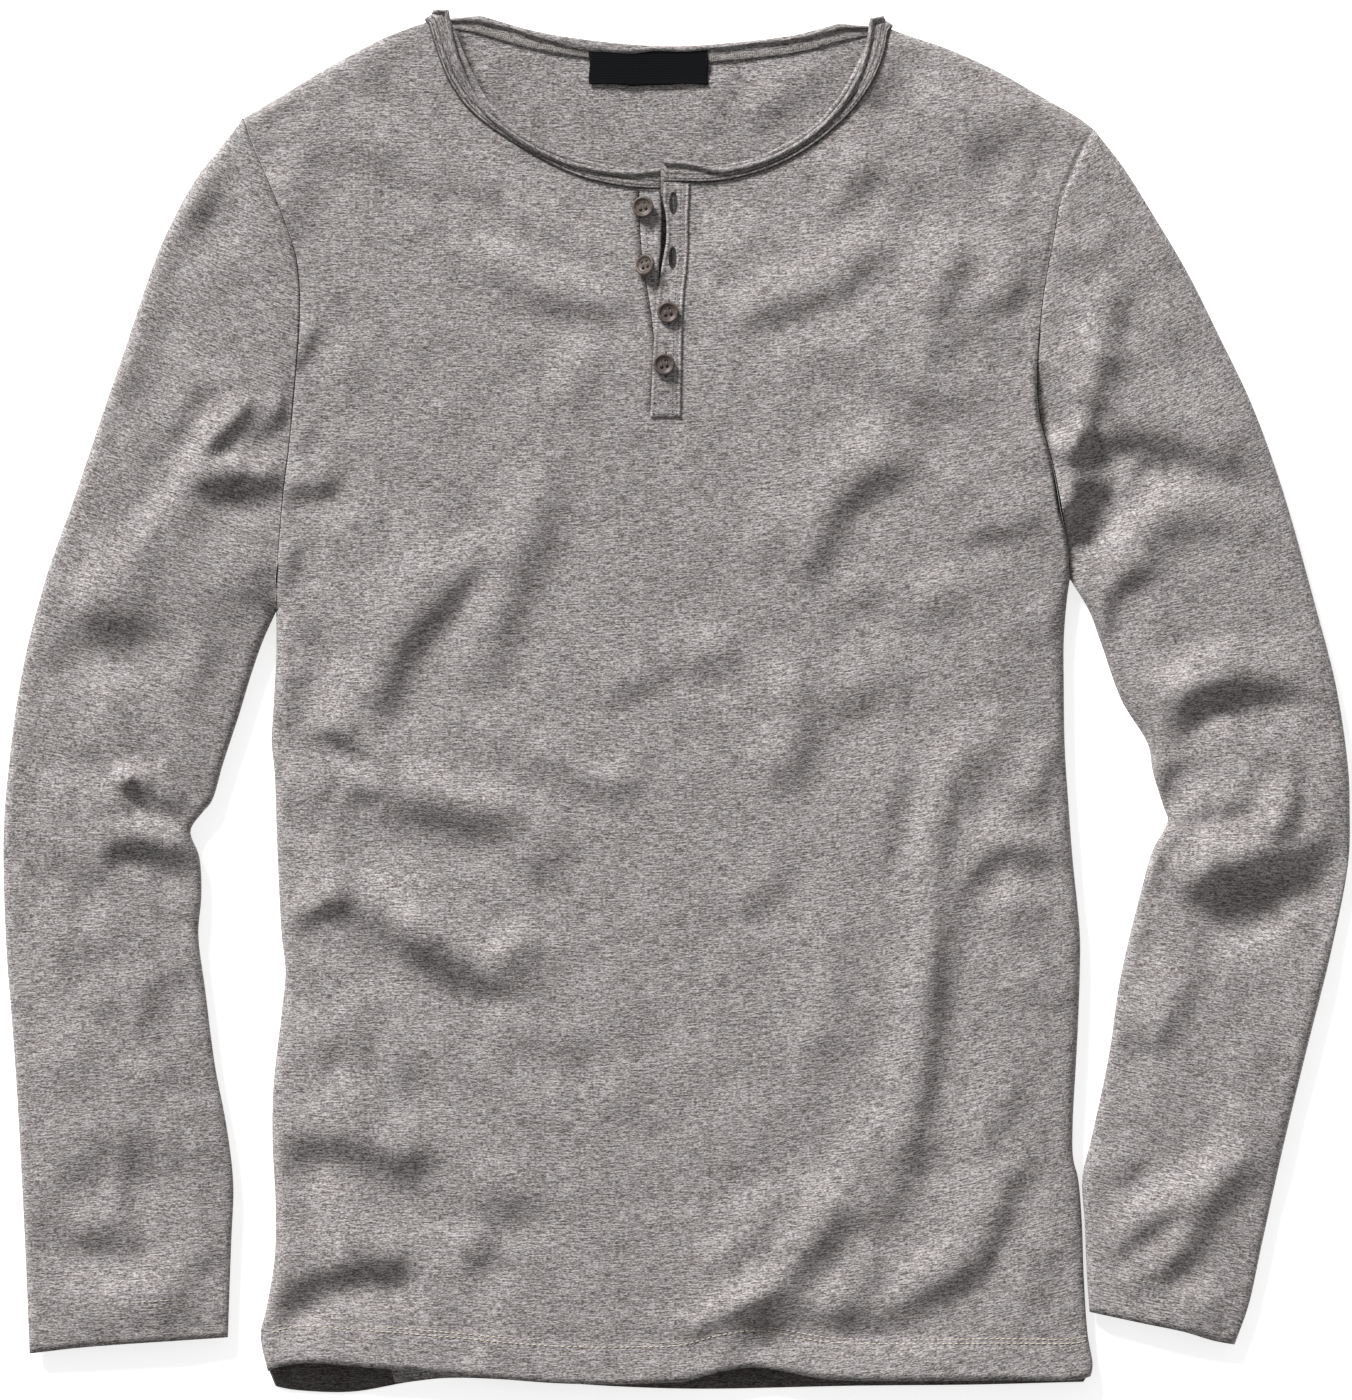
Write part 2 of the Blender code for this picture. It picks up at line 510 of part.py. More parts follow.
# ---- sleeves ---------------------------------------------------------------
def sleeve_grid(name):
    """Closed rings from the armhole to the cuff: over the top, back beneath."""
    lines = SIDES[name]
    shares = armhole_shares(lines["armhole"])
    arm = points_at(lines["armhole"], shares)
    along = np.gradient(arm, axis=0)
    along = along / np.linalg.norm(along, axis=1)[:, None]
    away = np.stack([-along[:, 1], along[:, 0]], axis=1)
    if name == "right":
        away = -away
    arm = arm + away * SEAM_GAP
    cuff = smooth_line(CUFF_LEFT if name == "left" else CUFF_RIGHT)[::-1]
    u = np.linspace(0.0, 1.0, SLEEVE_ROWS + 1)
    inner = points_at(lines["inner"], u ** 1.35)
    outer = points_at(lines["outer"], u)
    inner[0] = arm[0]
    outer[0] = arm[-1]
    flat = coons(inner, outer, arm, points_at(cuff, shares), u, shares)
    x = flat[..., 0]
    y = flat[..., 1]
    upper = np.dstack([flat, top_height(x, y, name, True)])
    lower = np.dstack([flat, under_height(x, y, name, True)])
    return upper, lower


def sleeve_mesh(name, upper, lower, flip):
    """Join the upper and lower grids into rings; they share both edges."""
    ring = np.concatenate([upper, lower[-2:0:-1]], axis=0)
    around, rows = ring.shape[:2]
    faces = []
    for k in range(around):
        for i in range(rows - 1):
            a = k * rows + i
            b = ((k + 1) % around) * rows + i
            quad = (a, a + 1, b + 1, b)
            faces.append(quad[::-1] if flip else quad)
    mesh = bpy.data.meshes.new(name)
    mesh.from_pydata([tuple(p * MM) for p in ring.reshape(-1, 3)], [], faces)
    mesh.update()
    return mesh


for side_name, flip in (("left", True), ("right", False)):
    upper, lower = sleeve_grid(side_name)
    name = "sleeve_" + side_name
    add_object(name, sleeve_mesh(name, upper, lower, flip),
               make_material(name, JERSEY), CLOTH)

# ---- neckband --------------------------------------------------------------
FLAT_STEPS = 5       # section steps across the flat part
ARC_STEPS = 5        # section steps round the roll
LIP_STEPS = 2        # section steps across the lip


def unit(vector):
    return vector / np.linalg.norm(vector)


def rolled_section(foot, across, outward, share):
    """Section of the band from its seam to its lip, rolled in by the share."""
    total = ROLL_FLAT + math.pi * ROLL_R + ROLL_LIP
    width = 9.6 + (total - 9.6) * share
    count = FLAT_STEPS + ARC_STEPS + LIP_STEPS
    steps = np.concatenate([np.linspace(0.0, ROLL_FLAT, FLAT_STEPS + 1)[:-1],
                            np.linspace(ROLL_FLAT, total - ROLL_LIP, ARC_STEPS + 1)[:-1],
                            np.linspace(total - ROLL_LIP, total, LIP_STEPS + 1)])
    steps = steps * width / total
    turn = math.pi * share
    point = np.array(foot, dtype=float)
    section = [point]
    for k in range(count):
        middle = 0.5 * (steps[k] + steps[k + 1]) * total / width
        bend = turn * np.clip((middle - ROLL_FLAT) / (math.pi * ROLL_R), 0.0, 1.0)
        reach = steps[k + 1] - steps[k]
        point = point + reach * (math.cos(bend) * across - math.sin(bend) * outward)
        section.append(point)
    return np.array(section)


def front_sections(seam, lip, count):
    """Sections of the band that lie on the front panel."""
    share = np.linspace(0.0, 1.0, count)
    low = points_at(smooth_line(seam), share)
    high = points_at(smooth_line(lip), share)
    across = FLAT_STEPS + ARC_STEPS + LIP_STEPS
    out = []
    for a, b, along in zip(low, high, share):
        part = np.linspace(0.0, 1.0, across + 1)[:, None]
        line = a + (b - a) * part
        z = front_height(line[:, 0], line[:, 1]) + BAND_LAY + BAND_RISE * along ** 8 + BAND_CLOTH
        out.append(np.column_stack([line, z]))
    return out


left_front = front_sections(BAND_SEAM_LEFT, BAND_LIP_LEFT, 10)
right_front = front_sections(BAND_SEAM_RIGHT, BAND_LIP_RIGHT, 10)
back_line = points_at(smooth_line(BACK_TOP), np.linspace(0.0, 1.0, 11))
sections = list(left_front)
for steps, front_end, side in ((range(1, 5), left_front[-1], -1.0),
                               (range(4, 0, -1), right_front[-1], 1.0)):
    across = unit(np.append(front_end[-1][:2] - front_end[0][:2], 0.0))
    sideways = np.array([across[1], -across[0], 0.0]) * -side
    sideways = sideways if sideways[0] * side > 0 else -sideways
    foot_top = front_end[0]
    fold = 0.5 * foot_top[2]
    if side > 0:
        for k, point in enumerate(back_line):
            ahead = back_line[min(k + 1, len(back_line) - 1)] - back_line[max(k - 1, 0)]
            normal = unit(np.array([-ahead[1], ahead[0], 0.0]))
            root = np.append(point, 0.0) - normal * (ROLL_FLAT + ROLL_R)
            sections.append(rolled_section(root, normal, np.array([0.0, 0.0, -1.0]), 1.0))
    for k in steps:
        turn = math.pi * k / 4.0
        outward = sideways * math.sin(turn) + np.array([0.0, 0.0, math.cos(turn)])
        centre = np.array([foot_top[0], foot_top[1], fold])
        sections.append(rolled_section(centre + outward * fold, across, outward,
                                       0.5 * max(0.0, k / 4.0 - 0.5)))
sections.extend(right_front[::-1])
band_grid = np.array(sections)
add_object("neckband", panel_mesh("neckband", band_grid), make_material("neckband", BAND),
           BAND_CLOTH)


# ---- plackets --------------------------------------------------------------
def strip(low, high, columns, lift):
    """Grid between two lines, set on the front panel and moved out by lift."""
    part = np.linspace(0.0, 1.0, columns + 1)[None, :, None]
    flat = low[:, None] + (high - low)[:, None] * part
    return np.dstack([flat, front_height(flat[..., 0], flat[..., 1]) + lift])


notch_edge = left_half[NOTCH_ROW:, -1]
under_y = np.append(np.clip(notch_edge[notch_edge[:, 1] < PLACKET_TOP_Y - 4.0, 1],
                            PLACKET_Y, None), PLACKET_TOP_Y)
under_seam = np.column_stack([np.interp(under_y, notch_edge[:, 1], notch_edge[:, 0])
                              + SEAM_GAP, under_y])
under_free = points_at(smooth_line(PLACKET_UNDER_FREE), np.linspace(0, 1, len(under_y)))
under_grid = strip(under_seam, under_free, 3, 0.0)
add_object("placket_under", panel_mesh("placket_under", under_grid, flip=False),
           make_material("placket_under", BAND), BAND_CLOTH)
top_share = np.linspace(0.0, 1.0, 17)
top_grid = strip(points_at(smooth_line(PLACKET_TOP_FREE), top_share),
                 points_at(smooth_line(PLACKET_TOP_SEAM), top_share), 4,
                 LAY_GAP + BAND_CLOTH)
curl = np.linspace(1.0, 0.0, 5)[None, :] ** 2 * ease((top_grid[..., 1] - 212.0) / 25.0)
top_grid[..., 2] += 1.6 * curl
placket_top = add_object("placket_top", panel_mesh("placket_top", top_grid),
                         make_material("placket_top", BAND), BAND_CLOTH)

holes = bmesh.new()
for cx, cy, half_wide, half_long in BUTTONHOLES:
    rim = []
    for k in range(12):
        a = 2.0 * math.pi * k / 12.0
        rim.append(((cx + half_wide * math.cos(a)) * MM, (cy + half_long * math.sin(a)) * MM))
    low = [holes.verts.new((x, y, 0.004)) for x, y in rim]
    high = [holes.verts.new((x, y, 0.030)) for x, y in rim]
    holes.faces.new(low[::-1])
    holes.faces.new(high)
    for k in range(12):
        holes.faces.new((low[k], low[(k + 1) % 12], high[(k + 1) % 12], high[k]))
hole_mesh = bpy.data.meshes.new("buttonhole_cutter")
holes.to_mesh(hole_mesh)
holes.free()
hole_cutter = bpy.data.objects.new("buttonhole_cutter", hole_mesh)
cutters.objects.link(hole_cutter)
hole_cutter.hide_render = True
hole_cutter.display_type = "WIRE"
cut = placket_top.modifiers.new("buttonholes", "BOOLEAN")
cut.operation = "DIFFERENCE"
cut.solver = "EXACT"
cut.object = hole_cutter

# ---- label -----------------------------------------------------------------
label_x = np.linspace(LABEL_X[0], LABEL_X[1], 7)
label_y = np.linspace(LABEL_Y[0], LABEL_Y[1], 4)
grid_x, grid_y = np.meshgrid(label_x, label_y)
label_z = np.full_like(grid_x, CLOTH + LAY_GAP + LABEL_CLOTH)
add_object("label", panel_mesh("label", np.dstack([grid_x, grid_y, label_z])),
           make_material("label", WOVEN), LABEL_CLOTH)

# ---- buttons ---------------------------------------------------------------
PROFILE = [(0.0, 0.30), (0.35, 0.02), (0.80, 0.0), (0.97, 0.32), (1.00, 0.62),
           (0.94, 0.93), (0.84, 1.0), (0.74, 0.93), (0.64, 0.72)]  # radius, height shares
TURN = 40            # steps round a button


def button_mesh(name):
    """Turned disc with a raised rim and a shallow dish."""
    shape = bmesh.new()
    rings = []
    for radius, level in PROFILE[1:]:
        ring = []
        for k in range(TURN):
            a = 2.0 * math.pi * k / TURN
            ring.append(shape.verts.new((BUTTON_R * radius * math.cos(a) * MM,
                                         BUTTON_R * radius * math.sin(a) * MM,
                                         BUTTON_T * level * MM)))
        rings.append(ring)
    shape.faces.new(rings[0][::-1])
    shape.faces.new(rings[-1])
    for low, high in zip(rings, rings[1:]):
        for k in range(TURN):
            shape.faces.new((low[k], low[(k + 1) % TURN], high[(k + 1) % TURN], high[k]))
    mesh = bpy.data.meshes.new(name)
    shape.to_mesh(mesh)
    shape.free()
    return mesh


def hole_pins(name):
    """Four pins that cut the thread holes."""
    pins = bmesh.new()
    for sx, sy in ((1, 1), (1, -1), (-1, -1), (-1, 1)):
        spot = Matrix.Translation((sx * HOLE_OUT * MM, sy * HOLE_OUT * MM, 0.5 * BUTTON_T * MM))
        bmesh.ops.create_cone(pins, cap_ends=True, segments=12, radius1=HOLE_R * MM,
                              radius2=HOLE_R * MM, depth=3.0 * BUTTON_T * MM, matrix=spot)
    mesh = bpy.data.meshes.new(name)
    pins.to_mesh(mesh)
    pins.free()
    return mesh


for name, bx, by, tilt, low_side, piece in BUTTONS:
    spot_x = np.array([bx])
    spot_y = np.array([by])
    rest = float(front_height(spot_x, spot_y)[0])
    if piece == "top":
        rest += LAY_GAP + BAND_CLOTH
    a = math.radians(low_side)
    axis = Vector((-math.sin(a), math.cos(a), 0.0))
    lift = BUTTON_R * math.sin(math.radians(tilt))
    place = (Matrix.Translation((bx * MM, by * MM, (rest + 0.9 + lift) * MM))
             @ Matrix.Rotation(math.radians(tilt), 4, axis))
    body = add_object(name, button_mesh(name), make_material(name, HORN))
    body.matrix_world = place
    pins = bpy.data.objects.new(name + "_pins", hole_pins(name + "_pins"))
    cutters.objects.link(pins)
    pins.matrix_world = place
    pins.hide_render = True
    pins.display_type = "WIRE"
    drill = body.modifiers.new("thread_holes", "BOOLEAN")
    drill.operation = "DIFFERENCE"
    drill.solver = "EXACT"
    drill.object = pins
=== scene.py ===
"""Looks of the henley shirt: cloth with its creases, seams, stitches, light, camera.

Tables are in millimetres in the frame's axes and are turned into metres by MM.
"left" and "right" are those of a person looking down at the front. Each cloth piece is a grid
between its outline's edges (coons), lifted by a height at each point (top_height), with a
wall below it.
"""
import math

import bmesh
import bpy
import numpy as np
from mathutils import Matrix, Vector


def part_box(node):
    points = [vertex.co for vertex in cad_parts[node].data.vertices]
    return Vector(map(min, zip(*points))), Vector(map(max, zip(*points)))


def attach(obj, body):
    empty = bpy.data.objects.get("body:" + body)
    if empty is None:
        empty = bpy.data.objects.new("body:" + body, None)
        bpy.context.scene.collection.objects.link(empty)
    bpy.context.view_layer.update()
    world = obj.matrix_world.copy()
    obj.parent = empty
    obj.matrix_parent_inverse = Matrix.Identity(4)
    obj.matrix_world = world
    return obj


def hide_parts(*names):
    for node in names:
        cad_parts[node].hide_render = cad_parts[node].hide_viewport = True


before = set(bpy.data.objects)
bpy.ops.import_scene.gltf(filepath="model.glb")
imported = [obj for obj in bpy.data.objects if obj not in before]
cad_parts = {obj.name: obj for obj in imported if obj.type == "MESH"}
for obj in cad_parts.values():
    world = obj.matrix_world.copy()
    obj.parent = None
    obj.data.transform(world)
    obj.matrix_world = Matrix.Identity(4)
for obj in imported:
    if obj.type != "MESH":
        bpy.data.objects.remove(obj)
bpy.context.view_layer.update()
MM = 0.001

# ---- sizes -----------------------------------------------------------------
CLOTH = 0.9          # jersey shell
BAND_CLOTH = 0.9     # neckband and placket shell
SEAM_GAP = 0.4       # gap between panels that meet edge to edge
EDGE_Z = 6.2         # height of the side, shoulder and sleeve edges
NECK_Z = 6.9         # height of the front at the neckline
LOWEST = 2.6         # troughs of the upper face stay above this
UNDER_ROUND = 11.0   # width of the rounding at an edge, on the under face
BODY_ROUND = 18.0    # the same on the upper face of the body,
ARM_ROUND = 18.0     # near the armhole,
SLEEVE_ROUND = 14.0  # and along the sleeve
BLEND = 80.0         # body and sleeve blend over this distance from the armhole
NECK_BLEND = 110.0   # the body rises to its crown over this distance from the neck
HEM_UP = 21.0        # top of the turned-up hem, and of the cuffs'
HEM_ROWS = (19.6, 21.9)    # the two rows of stitches there
HEM_STEP = 0.35      # step down where the hem ends,
HEM_GROOVE = 0.45    # groove that its stitches press in,
HEM_LIFT = 1.0       # and rise toward the edge
CUFF_STEP = 0.3      # the same at the cuffs
CUFF_GROOVE = 0.35
GROOVE_WIDE = 1.2
BUTTON_R = 5.75
BUTTON_T = 2.6
RUMPLE_WAVES = 14
RUMPLE_LONG = 46.0   # longest wave of the rumple
RUMPLE_HIGH = 0.34
FOLD_HIGH = 1.6      # the folds' tables are scaled by these
FOLD_WIDE = 1.5
FOLD_OFF = 0.7       # crest and trough stand off the line by this share of the slope
FOLD_FADE = 0.3      # a fold fades in and out over this share of its line
FOLD_REACH = 2.8     # beyond this many widths a fold adds nothing

# ---- outlines: x, y --------------------------------------------------------
SIDE_LEFT = [(-216.8, -357.0), (-220.7, -338.1), (-217.6, -323.8), (-213.3, -297.3),
             (-212.8, -267.1), (-214.4, -236.4), (-213.9, -206.2), (-209.6, -167.5),
             (-207.5, -145.2), (-209.6, -125.1), (-211.2, -94.9), (-212.3, -66.8),
             (-213.3, -39.2), (-214.9, -22.8), (-214.4, -13.3), (-212.3, 22.8),
             (-212.3, 46.0)]
SIDE_RIGHT = [(219.6, -359.6), (220.7, -354.0), (218.1, -338.1), (216.0, -307.4),
              (214.9, -277.2), (212.8, -253.9), (210.4, -244.9), (210.1, -226.3),
              (211.7, -196.1), (212.8, -176.0), (213.9, -145.2), (213.9, -125.1),
              (210.1, -85.9), (208.0, -58.3), (205.9, -26.0), (205.4, 6.4),
              (205.4, 30.7), (207.0, 52.0), (208.6, 63.1)]
ARMHOLE_LEFT = [(-212.3, 46.0), (-211.4, 70.0), (-208.6, 104.9), (-204.8, 136.7),
                (-202.7, 159.0), (-199.5, 200.3), (-201.1, 232.1), (-208.6, 256.0),
                (-219.0, 281.0), (-225.5, 296.0), (-229.8, 307.4)]
ARMHOLE_RIGHT = [(208.6, 63.1), (207.0, 84.3), (203.8, 98.6), (200.1, 119.8),
                 (195.8, 136.2), (192.1, 150.0), (191.1, 172.0), (192.7, 200.9),
                 (195.3, 221.0), (199.5, 243.3), (202.7, 261.8), (208.0, 275.1),
                 (214.9, 290.4), (221.3, 301.5)]
SHOULDER_LEFT = [(-229.8, 307.4), (-206.4, 321.2), (-184.7, 334.4), (-155.6, 349.8),
                 (-143.0, 354.8), (-133.0, 358.2), (-121.0, 362.0)]
SHOULDER_RIGHT = [(221.3, 301.5), (213.3, 307.6), (194.2, 318.5), (169.3, 332.8),
                  (143.9, 344.2), (126.9, 350.0), (115.0, 354.2), (104.6, 358.4)]
FRONT_NECK_LEFT = [(-121.0, 362.0), (-116.4, 351.0), (-110.8, 337.4), (-99.8, 317.0),
                   (-82.4, 300.0), (-61.2, 289.4), (-44.3, 284.1), (-29.0, 281.2),
                   (-20.6, 280.2)]
FRONT_NECK_RIGHT = [(104.6, 358.4), (101.4, 348.4), (95.7, 336.0), (86.1, 319.1),
                    (72.9, 303.7), (58.0, 294.2), (42.7, 286.7), (23.6, 282.5),
                    (10.0, 281.4), (2.6, 281.6)]
NOTCH_LEFT = [(-13.0, 150.5), (-12.2, 165.0), (-11.5, 179.0), (-12.8, 195.0),
              (-15.0, 212.0), (-17.5, 225.0), (-19.5, 245.0), (-20.6, 280.2)]
NOTCH_RIGHT = [(-1.0, 150.5), (-0.6, 179.0), (-0.1, 211.0), (2.1, 237.0),
               (2.6, 281.6)]
FRONT_HEM = [(-216.8, -357.0), (-210.7, -354.6), (-196.9, -352.5), (-165.1, -354.6),
             (-119.5, -358.3), (-63.3, -363.1), (-20.0, -363.5), (2.0, -362.5),
             (24.6, -356.7), (42.1, -354.6), (55.9, -356.7), (79.2, -360.9),
             (117.9, -362.0), (172.5, -361.5), (211.2, -361.5), (219.6, -359.6)]
BACK_HEM = [(-213.0, -365.5), (-203.3, -367.3), (-173.0, -368.4), (-141.2, -363.1),
            (-119.0, -361.0), (-63.3, -363.6), (-28.4, -365.7), (12.5, -366.8),
            (94.6, -365.2), (157.1, -364.6), (216.0, -363.1)]
BACK_NECK = [(-133.0, 358.2), (-129.0, 358.0), (-115.0, 356.4), (-102.9, 353.4),
             (-72.4, 344.9), (-34.0, 339.0), (-2.9, 337.4), (24.2, 339.0),
             (62.8, 343.4), (85.6, 348.6), (98.0, 351.8), (111.0, 353.4),
             (115.0, 354.2)]
SLEEVE_OUTER_LEFT = [(-229.8, 307.4), (-241.9, 292.0), (-253.6, 277.2), (-263.7, 260.2),
                     (-274.3, 238.0), (-282.8, 214.7), (-291.2, 189.2), (-302.9, 155.3),
                     (-319.9, 104.9), (-334.2, 64.7), (-347.4, 12.7), (-355.4, -47.2),
                     (-357.0, -71.6), (-357.0, -94.3), (-355.4, -135.2),
                     (-352.7, -169.6), (-349.5, -216.2), (-345.3, -297.3),
                     (-343.2, -347.7)]
SLEEVE_INNER_LEFT = [(-212.3, 46.0), (-219.2, 30.7), (-225.5, 12.7), (-231.9, -8.5),
                     (-240.4, -34.5), (-246.7, -55.1), (-251.5, -60.8), (-257.8, -70.5),
                     (-253.1, -84.3), (-252.0, -104.9), (-253.6, -125.1),
                     (-249.9, -155.3), (-244.6, -196.1), (-238.8, -226.3),
                     (-235.1, -257.1), (-236.1, -287.3), (-237.2, -317.5),
                     (-237.9, -339.0)]
CUFF_LEFT = [(-343.2, -347.7), (-320.0, -344.8), (-297.6, -342.9), (-237.9, -339.0)]
SLEEVE_OUTER_RIGHT = [(221.3, 301.5), (236.6, 282.0), (253.6, 254.9), (270.6, 226.3),
                      (287.5, 192.4), (304.5, 156.9), (320.9, 111.8), (338.4, 50.4),
                      (350.1, 4.8), (356.4, -39.2), (357.0, -58.3), (356.4, -85.9),
                      (347.4, -133.6), (334.2, -186.6), (321.4, -239.6),
                      (309.8, -292.6), (303.5, -321.7), (296.0, -342.9)]
SLEEVE_INNER_RIGHT = [(208.6, 63.1), (218.6, 46.6), (225.0, 29.2), (236.1, -1.6),
                      (249.9, -24.4), (252.5, -39.2), (258.4, -58.3), (260.5, -64.7),
                      (252.5, -80.6), (246.7, -100.7), (235.1, -149.5),
                      (229.2, -189.7), (219.4, -236.0), (215.2, -254.0),
                      (216.4, -277.2), (217.7, -307.4), (219.0, -325.5)]
CUFF_RIGHT = [(296.0, -342.9), (284.9, -340.8), (269.0, -336.0), (246.7, -331.4),
              (219.0, -325.5)]
BAND_SEAM_LEFT = [(-8.4, 269.4), (-25.2, 270.6), (-48.0, 275.1), (-67.0, 283.0),
                  (-89.8, 296.3), (-109.6, 311.3), (-120.2, 325.6), (-127.0, 341.6),
                  (-131.5, 356.8)]
BAND_LIP_LEFT = [(-8.4, 281.0), (-25.2, 279.6), (-45.5, 282.0), (-63.0, 287.0),
                 (-84.6, 298.2), (-102.8, 314.6), (-113.0, 333.6), (-118.2, 350.0),
                 (-120.8, 365.0)]
BAND_SEAM_RIGHT = [(-6.6, 273.5), (19.9, 273.5), (42.7, 278.3), (65.5, 288.3),
                   (89.8, 307.4), (103.1, 324.4), (109.8, 340.0), (112.6, 353.2)]
BAND_LIP_RIGHT = [(-6.6, 285.6), (8.0, 284.2), (22.6, 281.0), (41.6, 284.6),
                  (59.2, 292.0), (79.6, 307.2), (93.0, 325.4), (99.8, 343.4),
                  (102.4, 360.2)]
BACK_TOP = [(-104.0, 362.2), (-72.3, 353.4), (-33.1, 347.8), (-2.9, 346.0),
            (23.6, 347.4), (61.7, 351.8), (86.0, 358.0)]
PLACKET_TOP_FREE = [(-14.0, 148.4), (-12.5, 179.1), (-11.4, 200.3), (-9.8, 216.2),
                    (-7.3, 232.0), (-5.6, 242.0), (-5.6, 255.0), (-7.2, 264.0),
                    (-6.8, 272.6)]
PLACKET_TOP_SEAM = [(2.4, 148.4), (2.9, 179.1), (3.9, 211.7), (5.7, 229.5),
                    (6.4, 242.0), (6.4, 255.0), (6.9, 265.0), (7.2, 272.6)]
PLACKET_UNDER_FREE = [(-4.0, 152.0), (-3.6, 179.0), (-4.4, 195.0), (-6.8, 212.0),
                      (-9.1, 226.8), (-8.2, 237.4), (-7.8, 257.6), (-8.4, 268.6)]

# ---- heights along the shirt: y, z -----------------------------------------
BODY_CROWN = [(-370.0, 10.4), (-345.0, 11.2), (-300.0, 12.6), (-200.0, 14.6),
              (0.0, 14.8), (150.0, 15.2), (250.0, 14.2), (370.0, 11.6)]
SLEEVE_CROWN = [(-350.0, 9.6), (-320.0, 10.4), (-200.0, 11.5), (0.0, 12.5),
                (150.0, 13.2), (310.0, 13.4)]
# ---- valley at the armhole seam: share of the way from underarm to tip,
#      depth, width on the body side, width on the sleeve side ---------------
VALLEY = {
    "left": [(0.00, 3.5, 6.0, 12.0), (0.12, 1.3, 6.0, 12.0), (0.42, 1.2, 7.0, 10.0),
             (0.60, 0.9, 9.0, 10.0), (1.00, 0.7, 8.0, 10.0)],
    "right": [(0.00, 6.0, 3.0, 10.0), (0.08, 6.5, 3.0, 16.0), (0.16, 8.0, 3.0, 34.0),
              (0.28, 8.5, 3.0, 38.0), (0.36, 7.0, 3.5, 24.0), (0.43, 4.0, 4.0, 12.0),
              (0.50, 1.8, 4.0, 6.0), (0.60, 1.0, 4.0, 4.0), (0.80, 0.8, 3.0, 3.5),
              (0.93, 1.2, 3.0, 4.0), (1.00, 0.6, 3.0, 4.0)]}

# below this share of the armhole the valley's body side is a crisp edge
CRISP_TO = 0.62

